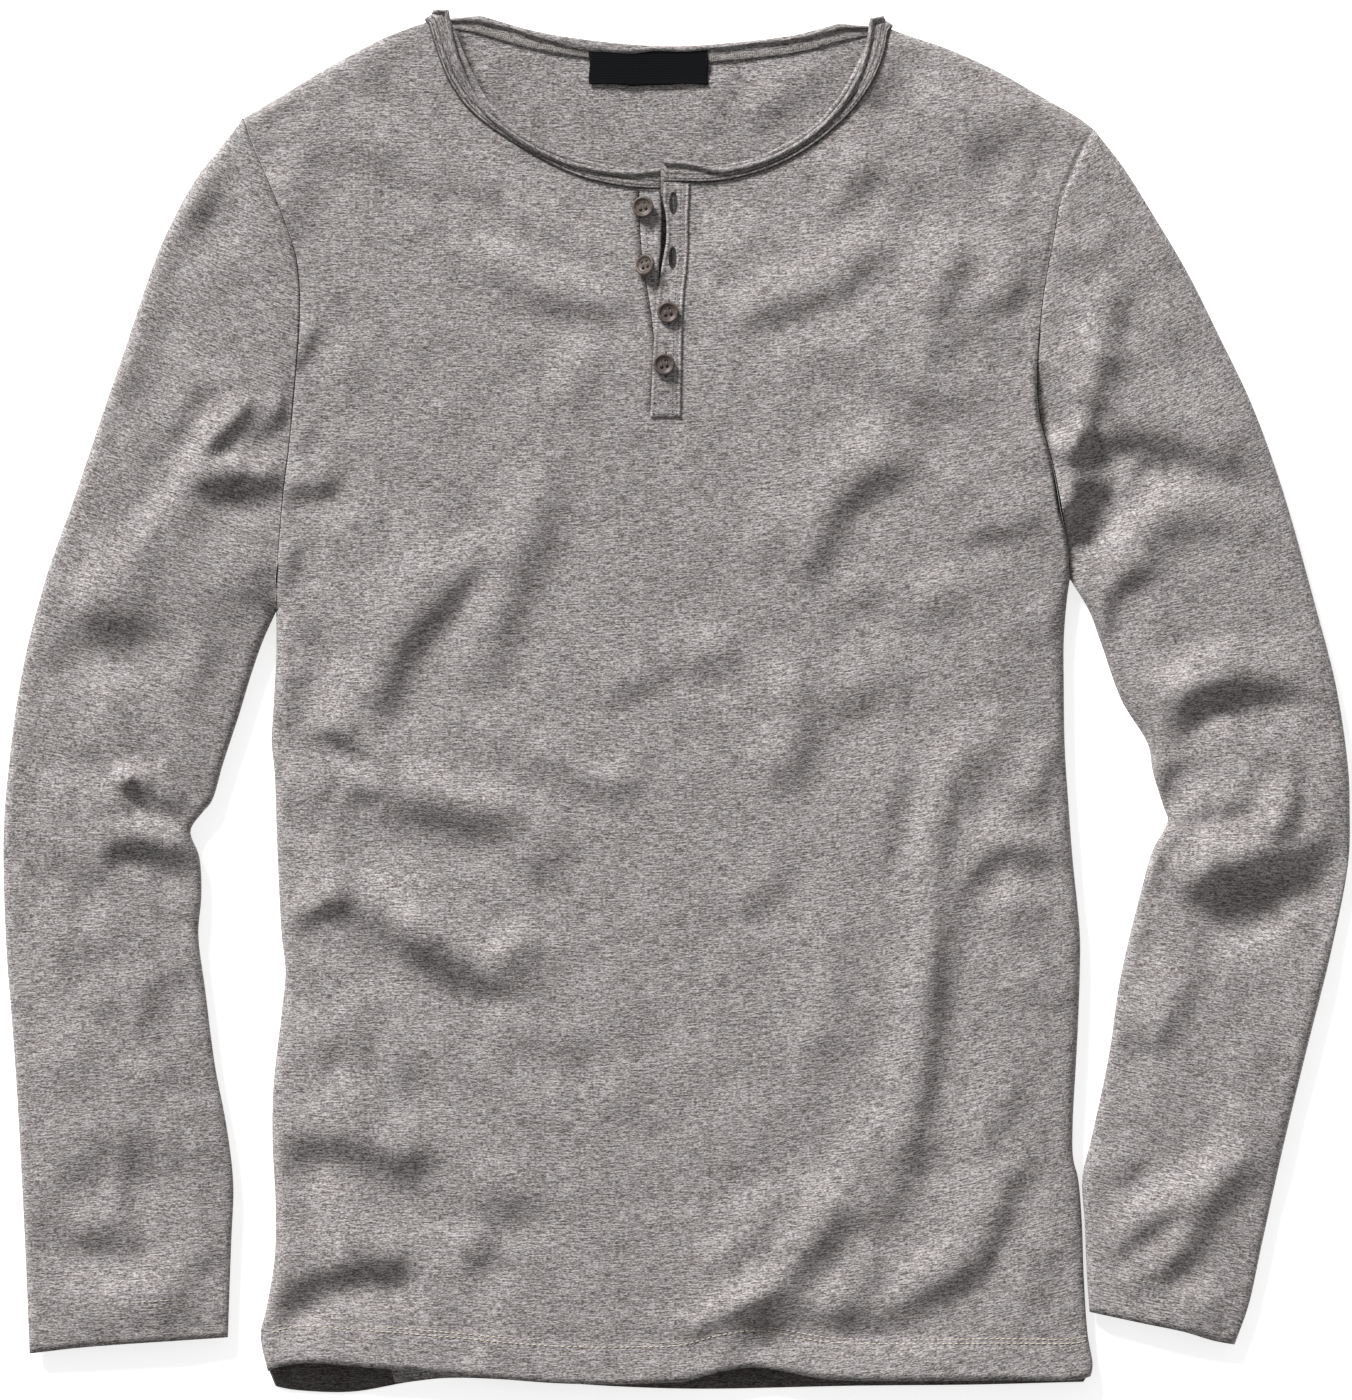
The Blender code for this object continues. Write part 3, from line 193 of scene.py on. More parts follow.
# ---- folds: rise, sink, width of the slope, width behind it, width ahead of it,
#      then the points of the line down which the cloth falls to the right -----
BODY_FOLDS = [
    # drag lines that fan out from the third button, to the upper left
    (3.0, 0.8, 8, 10, 9, -128, 238, -97, 223, -70, 210, -40, 203, -10, 200),
    (1.8, 0.8, 6, 9, 8, -122, 284, -100, 263, -75, 247, -50, 234, -22, 221),
    (1.2, 0.4, 8, 9, 8, -184, 296, -160, 284, -132, 272, -104, 262),
    (0.8, 0.3, 7, 9, 8, -150, 250, -120, 247, -92, 240),
    # and to the upper right
    (1.9, 0.8, 7, 12, 10, 14, 197, 40, 200, 62, 204, 90, 217, 106, 229, 120, 242),
    (2.4, 0.8, 7, 10, 9, 76, 242, 85, 255, 98, 271, 113, 290),
    (2.4, 1.0, 7, 10, 9, 134, 195, 143, 210, 150, 224, 163, 241),
    (1.2, 0.5, 5, 8, 7, 152, 204, 165, 207, 178, 212, 193, 218),
    (1.5, 0.6, 9, 11, 11, 76, 182, 104, 172, 130, 160, 166, 150),
    (0.9, 0.4, 7, 8, 8, 148, 294, 154, 310, 162, 326),
    (1.2, 0.5, 5, 6, 7, 181, 243, 184, 262, 190, 284, 198, 302),
    (0.9, 0.4, 7, 8, 8, 112, 246, 124, 262, 134, 282),
    # long folds down the left of the chest
    (2.6, 0.8, 9, 10, 12, -98, 0, -92, 22, -86, 42, -79, 62, -70, 84, -65, 104, -58, 136),
    (3.6, 1.4, 7.5, 19, 13, -151, -30, -152, -12, -149, 6, -144, 22, -134, 36, -120, 50,
     -109, 64, -96, 86),
    # arched fold on the right of the chest
    (3.2, 1.0, 8, 13, 11, 66, 50, 76, 68, 81, 84, 90, 101, 103, 113, 120, 120, 140, 130),
    (1.8, 0.8, 6, 9, 9, 146, 85, 165, 85, 181, 90, 202, 99),
    (1.6, 0.4, 8, 9, 8, 176, 77, 150, 68, 118, 55),
    (1.3, 0.5, 4, 8, 6, 199, 24, 200, 40, 203, 56),
    (0.9, 0.4, 7, 8, 8, 49, 66, 54, 84, 61, 104),
    # middle
    (1.3, 0.5, 7, 13, 10, -44, -10, -22, 4, 2, 16),
    (2.6, 0.8, 8, 11, 11, 61, -58, 66, -38, 70, -18, 69, 5, 65, 28),
    (1.1, 0.4, 8, 9, 9, 70, -10, 88, 2, 110, 3, 138, 13),
    (0.6, 0.3, 9, 10, 10, -28, -230, -24, -175, -20, -120),
    (0.7, 0.3, 9, 12, 10, 18, -268, 40, -242, 62, -210),
    # left side, at the waist
    (2.8, 1.2, 4, 8, 6, -200, -18, -182, -21, -166, -30, -148, -43),
    (2.2, 1.2, 8, 15, 11, -180, -45, -160, -55, -144, -62, -122, -64, -104, -69, -78, -77),
    (2.4, 0.6, 6, 11, 9, -46, -61, -70, -57, -92, -51, -122, -44, -148, -32, -170, -21),
    (2.0, 0.8, 8, 12, 11, -84, -30, -62, -40, -45, -49, -30, -62),
    (1.3, 0.6, 8, 10, 9, -82, -103, -66, -90, -48, -72),
    (2.0, 0.6, 7, 6, 9, -206, -22, -203, 0, -199, 22),
    (1.2, 0.4, 6, 7, 7, -184, 22, -164, 33),
    (1.2, 0.6, 4, 5, 6, -204, 52, -203, 70, -196, 88),
    (0.9, 0.3, 8, 9, 9, -200, -82, -184, -88, -168, -80),
    # left side, lower down
    (2.4, 0.8, 4.5, 7, 7, -208, -127, -196, -119, -185, -112, -168, -109),
    (3.6, 2.0, 7.5, 13, 13, -166, -106, -152, -124, -140, -135, -125, -144, -108, -150,
     -92, -156, -68, -168),
    (1.7, 0.4, 5, 7, 6, -76, -114, -90, -128, -103, -139),
    (1.2, 0.3, 5, 7, 6, -108, -133, -124, -121, -142, -103),
    (1.4, 0.5, 9, 9, 9, -206, -198, -190, -190, -176, -180),
    (1.1, 0.4, 7, 8, 8, -176, -198, -158, -186),
    (2.4, 3.0, 9, 18, 14, -218, -244, -190, -239, -165, -242, -145, -247, -114, -240),
    (0.8, 1.0, 11, 12, 12, -160, -262, -134, -270, -104, -268),
    (2.6, 3.4, 9, 15, 13, -224, -338, -207, -322, -196, -313, -180, -308, -160, -304,
     -128, -303),
    (1.0, 0.5, 5, 7, 7, -154, -346, -148, -326),
    (0.8, 0.4, 8, 9, 9, -92, -338, -76, -326),
    # strong upright fold on the right
    (3.4, 1.2, 6.5, 10, 11, 108, -290, 121, -260, 127, -238, 133, -212, 137, -180, 139, -150,
     140, -110, 143, -75, 150, -40, 162, -2),
    (1.6, 1.2, 6, 9, 9, 111, -108, 115, -75, 120, -50, 128, -28),
    (1.4, 0.5, 7, 9, 9, 66, -214, 80, -188, 88, -160, 89, -104),
    (0.8, 0.4, 6, 8, 7, 112, -132, 113, -96),
    # arched crease beside it
    (2.2, 1.0, 5.5, 8, 8, 148, -120, 156, -100, 164, -89, 176, -82, 192, -84, 206, -92),
    (1.3, 0.3, 6, 8, 7, 204, -110, 182, -102, 160, -112),
    (2.2, 0.8, 5, 9, 7, 190, -60, 196, -42, 202, -20),
    (1.0, 0.4, 7, 8, 8, 171, -44, 175, -20, 179, -2),
    (1.0, 0.4, 8, 9, 9, 174, -148, 188, -160, 202, -174),
    (1.5, 0.6, 6, 10, 9, 163, -250, 176, -222, 186, -196),
    # lower right
    (3.4, 1.2, 9, 14, 12, 6, -340, 28, -329, 46, -319, 62, -306, 78, -293, 90, -275, 102, -250),
    (1.6, 0.8, 4, 7, 6, -4, -346, 20, -332, 40, -323, 62, -310),
    (1.2, 0.8, 8, 9, 9, 98, -290, 112, -276, 124, -260),
    (2.8, 1.0, 6.5, 13, 11, 94, -336, 125, -321, 146, -311, 160, -301, 168, -289, 173, -274,
     180, -260, 194, -246),
    (0.9, 0.4, 6, 8, 8, 184, -330, 196, -306, 206, -280),
    # by the armholes and shoulders
    (1.6, 1.6, 5, 7, 7, -212, 109, -190, 109, -172, 115),
    (1.7, 0.6, 4, 5, 6, -202, 168, -195, 185, -188, 201),
    (1.0, 0.4, 4, 5, 5, -200, 124, -194, 138, -188, 148),
    (1.3, 0.7, 9, 10, 10, -208, 236, -198, 262, -188, 288),
    (1.0, 0.4, 8, 9, 9, -184, 304, -168, 292, -158, 276),
    (1.1, 0.6, 7, 9, 9, -190, 315, -165, 326, -138, 345),
    (0.9, 0.5, 3.5, 6, 5, -224, 306, -210, 311, -198, 318),
    (0.7, 0.3, 7, 8, 8, -182, 164, -158, 172),
    (0.7, 0.3, 6, 8, 8, -146, 178, -124, 186),
    (0.8, 0.3, 8, 9, 9, -158, 84, -152, 104),
    # broad, soft swells, then smaller folds and rows that deepen or soften those above
    (2.0, 1.5, 24, 24, 24, 90, 250, 130, 290, 180, 330),
    (1.0, 1.0, 14, 14, 14, 150, 250, 178, 290, 196, 320),
    (1.5, 1.0, 14, 16, 14, 196, 190, 186, 150, 180, 120),
    (1.8, 0.8, 8, 12, 10, -110, -122, -140, -103, -170, -92, -204, -72),
    (1.8, 0.6, 8, 10, 8, -176, -44, -190, -36, -207, -30),
    (1.5, 1.5, 10, 10, 10, -178, -100, -156, -122, -140, -150),
    (1.5, 1.5, 9, 10, 10, -186, -178, -170, -180, -154, -176),
    (1.3, 0.9, 8, 9, 9, -104, -184, -84, -181, -66, -188, -50, -200),
    (1.2, 0.8, 8, 8, 8, -198, -10, -197, 30, -196, 70),
    (1.2, 0.8, 8, 8, 8, -196, -330, -200, -280, -202, -200),
    (1.6, 0.6, 8, 10, 8, 112, -205, 90, -240, 66, -275, 50, -300),
    (1.5, 1.0, 7, 9, 8, 8, -320, 30, -300, 52, -276, 66, -256),
    (2.0, 0.8, 7, 8, 8, 72, -292, 40, -318, 10, -340),
    (2.0, 1.5, 8, 9, 9, 74, -336, 96, -322, 108, -300, 112, -280),
    (1.4, 0.6, 7, 9, 8, 158, -8, 146, -28, 134, -55),
    (1.4, 0.6, 7, 9, 8, 152, -88, 140, -108, 128, -140, 118, -170),
    (1.2, 1.0, 6, 7, 7, 172, -66, 186, -62, 202, -60),
    (1.2, 1.0, 8, 8, 8, 178, -98, 190, -90, 200, -80),
    (1.4, 0.8, 8, 9, 9, -40, 200, -56, 182, -74, 152),
    (1.2, 0.6, 7, 8, 8, 140, 160, 118, 172, 96, 184),
    (0.9, 0.9, 8, 8, 8, 6, 12, 20, 16, 34, 18),
    (0.8, 0.5, 8, 8, 8, 40, 38, 15, 34, -12, 36),
    (1.2, 0.8, 9, 9, 9, -22, -28, -32, -38, -44, -48),
    (1.0, 0.5, 8, 9, 9, -16, -196, -34, -204, -56, -212),
    (1.2, 1.0, 7, 8, 8, 92, -196, 102, -178, 112, -156),
    (1.0, 1.0, 7, 8, 8, 30, -122, 48, -106, 66, -92),
    (1.4, 1.4, 14, 14, 14, -176, -262, -150, -258, -124, -250),
    (1.4, 1.2, 9, 9, 9, -160, -310, -148, -302, -136, -296),
    (1.2, 0.6, 9, 10, 10, -70, -268, -96, -244, -124, -220, -150, -206),
    (1.0, 1.0, 9, 9, 9, -108, -280, -94, -268, -82, -256),
    (1.0, 0.6, 7, 8, 8, -178, -248, -190, -258, -202, -268),
    (0.9, 0.4, 8, 9, 9, -96, 96, -108, 86, -122, 78),
    (0.9, 0.4, 8, 9, 9, -98, 66, -106, 50, -114, 36),
    (1.0, 0.8, 9, 9, 9, 28, 200, 52, 206, 76, 222),
    (1.0, 0.8, 9, 9, 9, 84, 220, 106, 232, 128, 240),
    (1.0, 0.8, 8, 9, 9, 124, 186, 146, 190, 166, 192),
    (1.0, 0.6, 12, 14, 12, -236, 296, -206, 300, -180, 296),
    (1.0, 0.5, 10, 12, 10, 166, 60, 162, 30, 158, 0),
    (1.2, 1.0, 7, 8, 8, 58, 262, 72, 272, 84, 286),
    (1.2, 1.0, 10, 10, 10, 14, 218, 40, 232, 64, 250),
    (1.5, 1.5, 10, 10, 10, 146, 286, 170, 296, 200, 300),
    (1.5, 1.2, 8, 8, 8, 178, 196, 182, 220, 188, 244),
    (1.0, 1.0, 8, 8, 8, 66, 182, 84, 178, 102, 172),
    (1.5, 1.5, 10, 10, 10, -200, 28, -184, 36, -168, 44),
    (1.0, 0.5, 9, 9, 9, -84, -16, -96, -14, -110, -18),
    (1.5, 1.2, 5, 6, 6, -178, -50, -166, -50, -154, -54),
    (1.0, 0.4, 6, 7, 7, -98, -136, -116, -122, -134, -112),
    (1.2, 1.2, 8, 9, 9, -116, -304, -104, -298, -92, -290),
    (1.0, 1.0, 8, 8, 8, -92, -282, -80, -274, -68, -262),
    (1.6, 0.6, 8, 9, 8, 36, -302, 22, -320, 6, -340),
    (1.2, 1.2, 6, 7, 7, 24, -336, 60, -330, 100, -332, 140, -334),
    (1.5, 0.6, 7, 8, 8, -146, -312, -172, -316, -208, -336),
    (1.2, 0.4, 8, 9, 8, -70, -338, -90, -336, -108, -332),
    (1.0, 1.0, 7, 7, 7, 170, -260, 182, -254, 194, -250),
    (1.0, 0.8, 7, 7, 7, 136, 166, 142, 178, 148, 190),
    (1.0, 0.5, 9, 9, 9, 166, 116, 150, 122, 132, 118),
    (1.2, 1.0, 8, 8, 8, -216, 300, -208, 288, -202, 276),
    (1.0, 1.0, 8, 8, 8, -112, 268, -100, 270, -86, 272),
    (1.4, 1.0, 12, 12, 12, -178, -212, -150, -206, -128, -190),
    (1.0, 1.0, 8, 8, 8, 76, 46, 96, 48, 112, 56),
    (1.0, 1.0, 8, 8, 8, 80, -16, 94, -8, 110, -6),
    (1.0, 1.0, 8, 8, 8, 126, -256, 136, -246, 148, -240),
    (2.0, 1.6, 8, 8, 9, 100, 306, 112, 326, 120, 350),
]
LEFT_FOLDS = [
    (1.7, 1.0, 5, 8, 8, -266, 248, -252, 258, -245, 270, -238, 290),
    (1.5, 0.6, 7, 9, 10, -293, 154, -282, 180, -273, 198, -262, 216),
    (1.6, 1.0, 6, 7, 7, -268, 146, -250, 158, -238, 163, -220, 166),
    (2.8, 1.4, 4, 9, 6, -256, 123, -241, 136, -231, 147, -218, 162),
    (2.6, 0.8, 7, 12, 9, -222, 168, -250, 141, -264, 121, -276, 101, -290, 82, -310, 64),
    (1.2, 0.6, 3, 5, 4, -210, 141, -208, 161),
    (1.4, 0.8, 5, 6, 6, -202, 128, -225, 128, -252, 123),
    (1.8, 2.0, 5.5, 7, 8, -268, 114, -240, 112, -220, 111, -200, 109),
    (1.8, 2.0, 12, 15, 15, -334, 50, -310, 39, -290, 36, -262, 47),
    (1.0, 0.5, 6, 8, 8, -258, -6, -249, 14, -241, 34),
    (1.2, 0.4, 6, 5, 9, -348, -70, -345, -30, -340, 4),
    (1.0, 0.8, 5, 7, 7, -322, -27, -304, -32, -288, -40),
    (2.0, 0.8, 4, 7, 6, -296, -66, -288, -53, -287, -38),
    (1.6, 0.4, 9, 10, 9, -290, -44, -315, -44, -340, -51),
    (0.8, 0.8, 6, 6, 6, -284, -72, -277, -58, -273, -45),
    (2.2, 0.4, 5, 6, 6, -252, -78, -276, -69, -302, -66),
    (2.6, 2.0, 6, 7, 9, -310, -86, -290, -79, -276, -81, -262, -88, -250, -97),
    (1.4, 1.8, 11, 12, 13, -344, -88, -320, -93, -296, -98),
    (1.5, 1.0, 7, 9, 9, -302, -172, -286, -173, -278, -163, -271, -140),
    (0.9, 0.5, 5, 7, 7, -296, -176, -276, -190),
    (1.5, 1.3, 11, 13, 16, -342, -224, -318, -212, -295, -208, -262, -213),
    (1.8, 1.2, 7, 7, 11, -346, -312, -341, -292, -334, -268, -328, -240),
    (0.8, 0.8, 10, 11, 11, -330, -256, -302, -241, -274, -222),
    (1.0, 0.6, 6, 8, 8, -324, -283, -302, -292, -288, -302),
    (1.2, 0.8, 6, 8, 8, -268, -305, -250, -300, -237, -292),
    (1.1, 0.3, 8, 10, 9, -262, -206, -264, -226, -262, -250),
    (0.9, 0.4, 8, 9, 9, -336, -146, -314, -136, -290, -138),
    (0.8, 0.4, 9, 9, 9, -250, 196, -244, 214, -236, 238),
    # smaller folds, and rows that deepen or soften those above
    (2.0, 1.0, 14, 16, 14, -222, 92, -250, 86, -282, 76),
    (1.2, 1.2, 10, 10, 10, -286, 186, -272, 222, -256, 252),
    (1.2, 1.2, 5, 6, 6, -270, 134, -262, 141, -252, 147),
    (2.0, 1.0, 3.5, 5, 5, -272, -42, -286, -37, -298, -40),
    (2.5, 2.0, 4, 5, 5, -302, -50, -288, -46, -276, -56, -268, -66),
    (1.2, 1.2, 10, 10, 10, -336, -206, -318, -194, -300, -186),
    (2.0, 2.0, 12, 12, 12, -336, -284, -310, -276, -284, -274),
    (1.5, 1.5, 12, 12, 12, -300, -256, -280, -250, -256, -246),
    (1.6, 0.6, 10, 12, 10, -246, -312, -280, -306, -336, -308),
    (1.0, 0.6, 8, 8, 8, -286, 16, -300, 10, -314, 6),
    (1.0, 0.5, 6, 6, 6, -332, 44, -340, 32, -344, 16),
    (1.2, 0.6, 7, 8, 8, -256, -62, -274, -60, -292, -64),
    (1.2, 0.6, 9, 9, 9, -254, -122, -262, -128, -276, -132),
    (1.0, 0.6, 9, 9, 9, -320, -96, -334, -102, -346, -110),
    (1.2, 0.8, 7, 8, 8, -312, -172, -300, -166, -288, -162),
    (1.5, 1.5, 8, 8, 8, -262, 240, -250, 252, -238, 268),
    (1.6, 0.8, 8, 9, 9, -238, 136, -256, 116, -272, 98),
    (2.0, 1.0, 10, 10, 10, -220, 86, -232, 68, -240, 52),
    (1.5, 1.2, 6, 7, 7, -232, 118, -222, 138, -214, 158),
    (1.6, 1.2, 6, 6, 6, -290, -57, -276, -60, -260, -65),
    (1.5, 1.5, 10, 10, 10, -322, -300, -300, -292, -280, -286),
    (1.2, 1.2, 10, 10, 10, -336, -262, -316, -256, -298, -252),
    (1.2, 0.5, 8, 9, 9, -248, -300, -268, -304, -290, -310),
    (1.0, 1.0, 7, 7, 7, -334, -80, -330, -60, -328, -40),
    (1.2, 1.0, 8, 8, 8, -298, 148, -290, 160, -284, 176),
    (2.0, 1.5, 12, 12, 12, -327, 42, -302, 38, -276, 41),
    (2.2, 1.6, 16, 14, 14, -345, -226, -308, -238, -266, -236),
]
RIGHT_FOLDS = [
    (1.1, 0.8, 7, 8, 8, 196, 235, 214, 231, 232, 227),
    (2.4, 0.6, 6, 11, 9, 216, 138, 224, 164, 232, 194, 237, 214, 242, 238),
    (2.8, 2.2, 7, 13, 10, 214, 141, 243, 137, 262, 131, 280, 126, 308, 114),
    (2.4, 0.6, 8, 13, 9, 306, 108, 285, 112, 268, 112, 250, 105, 236, 92, 212, 74),
    (2.2, 1.4, 5, 8, 7, 234, 98, 242, 112, 247, 130),
    (2.0, 0.2, 6, 9, 6, 238, 118, 226, 122, 214, 114),
    (0.9, 0.7, 8, 9, 9, 246, 85, 272, 90, 292, 90, 304, 74),
    (1.7, 1.6, 5, 6, 8, 226, 20, 229, 42, 234, 56, 243, 63, 260, 65),
    (1.3, 0.4, 8, 10, 9, 298, 42, 280, 23, 262, 16, 236, 13),
    (3.0, 3.0, 6.5, 12, 10, 258, -34, 268, -17, 275, -3, 290, 3, 315, 3, 342, 0),
    (1.4, 2.6, 9, 10, 7, 246, -56, 262, -44, 278, -37, 292, -38, 310, -48),
    (2.8, 0.4, 5, 10, 6, 328, -39, 310, -50, 285, -55, 256, -60),
    (1.5, 2.2, 4.5, 6, 5, 314, -78, 326, -65, 329, -53, 325, -36),
    (3.4, 3.2, 11, 13, 14, 276, -101, 305, -97, 325, -91, 338, -80, 346, -56),
    (1.2, 1.0, 8, 10, 10, 272, -124, 286, -116, 300, -106),
    (1.8, 1.0, 6, 8, 8, 247, -110, 256, -88, 265, -68),
    (0.9, 0.5, 5, 7, 7, 240, -132, 254, -123),
    (1.7, 1.0, 7, 11, 11, 250, -196, 262, -180, 270, -164, 280, -138),
    (1.2, 0.9, 7, 9, 9, 228, -184, 244, -181, 260, -186),
    (1.6, 0.3, 9, 8, 10, 344, -100, 336, -146, 327, -186, 316, -226),
    (2.6, 0.6, 9, 10, 11, 326, -210, 300, -234, 275, -249, 250, -261, 234, -276, 222, -296),
    (1.8, 1.2, 5, 8, 7, 226, -301, 240, -290, 257, -278, 272, -268),
    (2.3, 1.2, 6.5, 10, 10, 250, -309, 266, -300, 276, -288, 284, -272, 293, -260, 310, -242),
    (1.0, 0.5, 6, 8, 8, 222, -284, 224, -262, 226, -238),
    (0.8, 0.4, 9, 9, 9, 252, 168, 262, 186, 276, 200),
    (0.8, 0.4, 8, 9, 9, 240, 258, 250, 244, 256, 226),
    (0.8, 0.4, 9, 10, 10, 290, -200, 280, -178, 296, -150),
    # smaller folds, and rows that deepen or soften those above
    (3.0, 1.0, 8, 10, 8, 226, 196, 216, 172, 208, 150),
    (3.0, 3.0, 9, 10, 10, 208, 84, 216, 104, 222, 124, 230, 142),
    (2.5, 2.0, 9, 10, 10, 258, -66, 280, -60, 310, -56),
    (2.5, 2.5, 10, 12, 12, 262, -108, 282, -98, 300, -88),
    (1.4, 0.6, 7, 8, 8, 350, -18, 340, -36, 330, -56),
    (1.2, 0.6, 7, 8, 8, 300, 14, 270, 10, 246, 4),
    (1.2, 0.6, 6, 7, 7, 304, -14, 286, -10, 272, -20),
    (1.4, 1.2, 8, 9, 9, 268, 108, 286, 116, 304, 124),
    (1.5, 0.6, 14, 16, 14, 306, -252, 280, -268, 250, -284),
    (1.4, 1.4, 7, 8, 8, 230, -262, 240, -254, 252, -246),
    (1.4, 0.5, 8, 10, 8, 298, -318, 270, -312, 240, -310),
    (1.2, 0.6, 12, 14, 12, 334, 60, 330, 20, 326, -10),
    (1.2, 0.6, 14, 16, 14, 322, -180, 300, -176, 276, -186),
    (1.2, 0.8, 8, 9, 9, 262, 150, 280, 142, 300, 128),
    (1.4, 1.4, 7, 8, 8, 326, -138, 334, -124, 340, -106),
    (2.0, 0.8, 8, 9, 8, 222, 206, 212, 192, 206, 176),
    (2.0, 1.0, 5, 6, 6, 224, 152, 212, 150, 204, 146),
    (4.0, 3.0, 6, 7, 7, 204, 120, 214, 132, 226, 142),
    (3.0, 3.0, 8, 8, 8, 208, 76, 214, 92, 220, 108),
    (2.5, 2.0, 6, 7, 7, 264, -58, 286, -56, 318, -50),
    (2.0, 1.5, 6, 6, 6, 252, -58, 258, -44, 262, -30),
    (1.8, 1.8, 12, 12, 12, 276, -116, 296, -104, 320, -96),
    (1.0, 0.5, 8, 8, 8, 298, -152, 286, -156, 272, -160),
    (1.5, 0.6, 12, 14, 12, 322, -200, 300, -210, 282, -214),
    (1.2, 0.6, 8, 9, 9, 270, -282, 254, -288, 238, -298),
    (1.2, 1.2, 6, 7, 7, 236, -314, 252, -310, 270, -308),
    (2.0, 2.0, 7, 7, 8, 206, 84, 214, 98, 224, 112, 236, 120),
    (2.6, 1.8, 15, 12, 12, 256, -84, 288, -94, 320, -88, 346, -70),
    (3.0, 2.4, 9, 8, 9, 206, 74, 213, 104, 224, 142),
]
# soft folds of the back's inside, where the neck opening shows it
BACK_FOLDS = [
    (1.2, 0.3, 5, 7, 7, 20, 294, 24, 314, 27, 336),
    (1.8, 0.4, 5, 7, 7, 38, 298, 54, 314, 66, 338),
    (1.3, 0.3, 4, 6, 6, 52, 302, 70, 320, 84, 342),
    (0.9, 0.2, 5, 6, 6, -98, 316, -94, 330, -90, 346),
    (0.7, 0.2, 6, 8, 8, -46, 300, -36, 310, -26, 324),
]


# ---- lines -----------------------------------------------------------------
def smooth_line(points, per_span=10):
    """A smooth curve through the points."""
    p = np.array(points, dtype=float)
    gaps = np.sqrt(np.linalg.norm(np.diff(p, axis=0), axis=1))
    t = np.concatenate([[0.0], np.cumsum(gaps)])
    slope = np.gradient(p, t, axis=0)
    out = [p[0]]
    for i in range(len(p) - 1):
        h = t[i + 1] - t[i]
        for k in range(1, per_span + 1):
            s = k / per_span
            out.append(p[i] * (2 * s ** 3 - 3 * s ** 2 + 1)
                       + slope[i] * h * (s ** 3 - 2 * s ** 2 + s)
                       + p[i + 1] * (3 * s ** 2 - 2 * s ** 3)
                       + slope[i + 1] * h * (s ** 3 - s ** 2))
    return np.array(out)


def lengths_of(line):
    """Distance along the line at each of its points."""
    return np.concatenate([[0.0], np.cumsum(np.linalg.norm(np.diff(line, axis=0), axis=1))])


def points_at(line, share):
    """Points at given shares of the line's length."""
    run = lengths_of(line)
    want = np.clip(np.asarray(share, dtype=float), 0.0, 1.0) * run[-1]
    columns = [np.interp(want, run, line[:, k]) for k in range(line.shape[1])]
    return np.stack(columns, axis=1)


def evenly(points, count):
    """So many points, evenly spaced along the smooth curve through the given ones."""
    return points_at(smooth_line(points), np.linspace(0.0, 1.0, count))


def distance_to(line, x, y, sided=False):
    """Distance to a line, the share of its length there, and which side: left is 1."""
    start = line[:-1]
    step = np.diff(line, axis=0)
    size = np.maximum((step ** 2).sum(axis=1), 1e-12)
    run = lengths_of(line)
    gaps = []
    shares = []
    sides = []
    flat_x = x.ravel()
    flat_y = y.ravel()
    for first in range(0, len(flat_x), 4000):
        px = flat_x[first:first + 4000, None] - start[None, :, 0]
        py = flat_y[first:first + 4000, None] - start[None, :, 1]
        along = np.clip((px * step[:, 0] + py * step[:, 1]) / size, 0.0, 1.0)
        gap = np.hypot(px - along * step[:, 0], py - along * step[:, 1])
        best = gap.argmin(axis=1)
        rows = np.arange(len(best))
        gaps.append(gap[rows, best])
        shares.append((run[best] + along[rows, best] * np.sqrt(size[best])) / run[-1])
        if sided:
            turn = step[best, 0] * py[rows, best] - step[best, 1] * px[rows, best]
            sides.append(np.where(turn > 0.0, 1.0, -1.0))
    found = [gaps, shares] + ([sides] if sided else [])
    return tuple(np.concatenate(values).reshape(x.shape) for values in found)


def ease(t):
    """From 0 to 1 without corners."""
    t = np.clip(t, 0.0, 1.0)
    return t * t * (3.0 - 2.0 * t)


def rounding(distance, width):
    """A quarter round: 0 at the edge, 1 from the width on."""
    s = np.clip(distance / width, 0.0, 1.0)
    return np.sqrt(np.maximum(0.0, 1.0 - (1.0 - s) ** 2))


def turned(distance, width):
    """Cloth that turns down at a fold: round at the edge, then nearly flat."""
    s = np.clip(distance / (0.5 * width), 0.0, 1.0)
    return 0.68 * np.sqrt(1.0 - (1.0 - s) ** 3) + 0.32 * ease(distance / (2.2 * width))


def ridge(distance, width):
    """A soft ridge, 1 high at distance 0."""
    return np.exp(-(distance / width) ** 2)


def soft_table(rows, value, column):
    """A column of a table, read between its rows without corners."""
    line = smooth_line([(row[0], row[column]) for row in rows])
    return np.interp(value, line[:, 0], line[:, 1])


SIDES = {}
for side_name, side, armhole, shoulder, outer, inner in (
        ("left", SIDE_LEFT, ARMHOLE_LEFT, SHOULDER_LEFT, SLEEVE_OUTER_LEFT,
         SLEEVE_INNER_LEFT),
        ("right", SIDE_RIGHT, ARMHOLE_RIGHT, SHOULDER_RIGHT, SLEEVE_OUTER_RIGHT,
         SLEEVE_INNER_RIGHT)):
    SIDES[side_name] = {
        "side": smooth_line(side),
        "armhole": smooth_line(armhole),
        "shoulder": smooth_line(shoulder),
        "outer": smooth_line(outer),
        "inner": smooth_line(inner),
        "top": np.vstack([smooth_line(shoulder)[::-1], smooth_line(outer)[1:]]),
    }
NECK_LINE = np.vstack([smooth_line(FRONT_NECK_LEFT), smooth_line(FRONT_NECK_RIGHT)[::-1]])


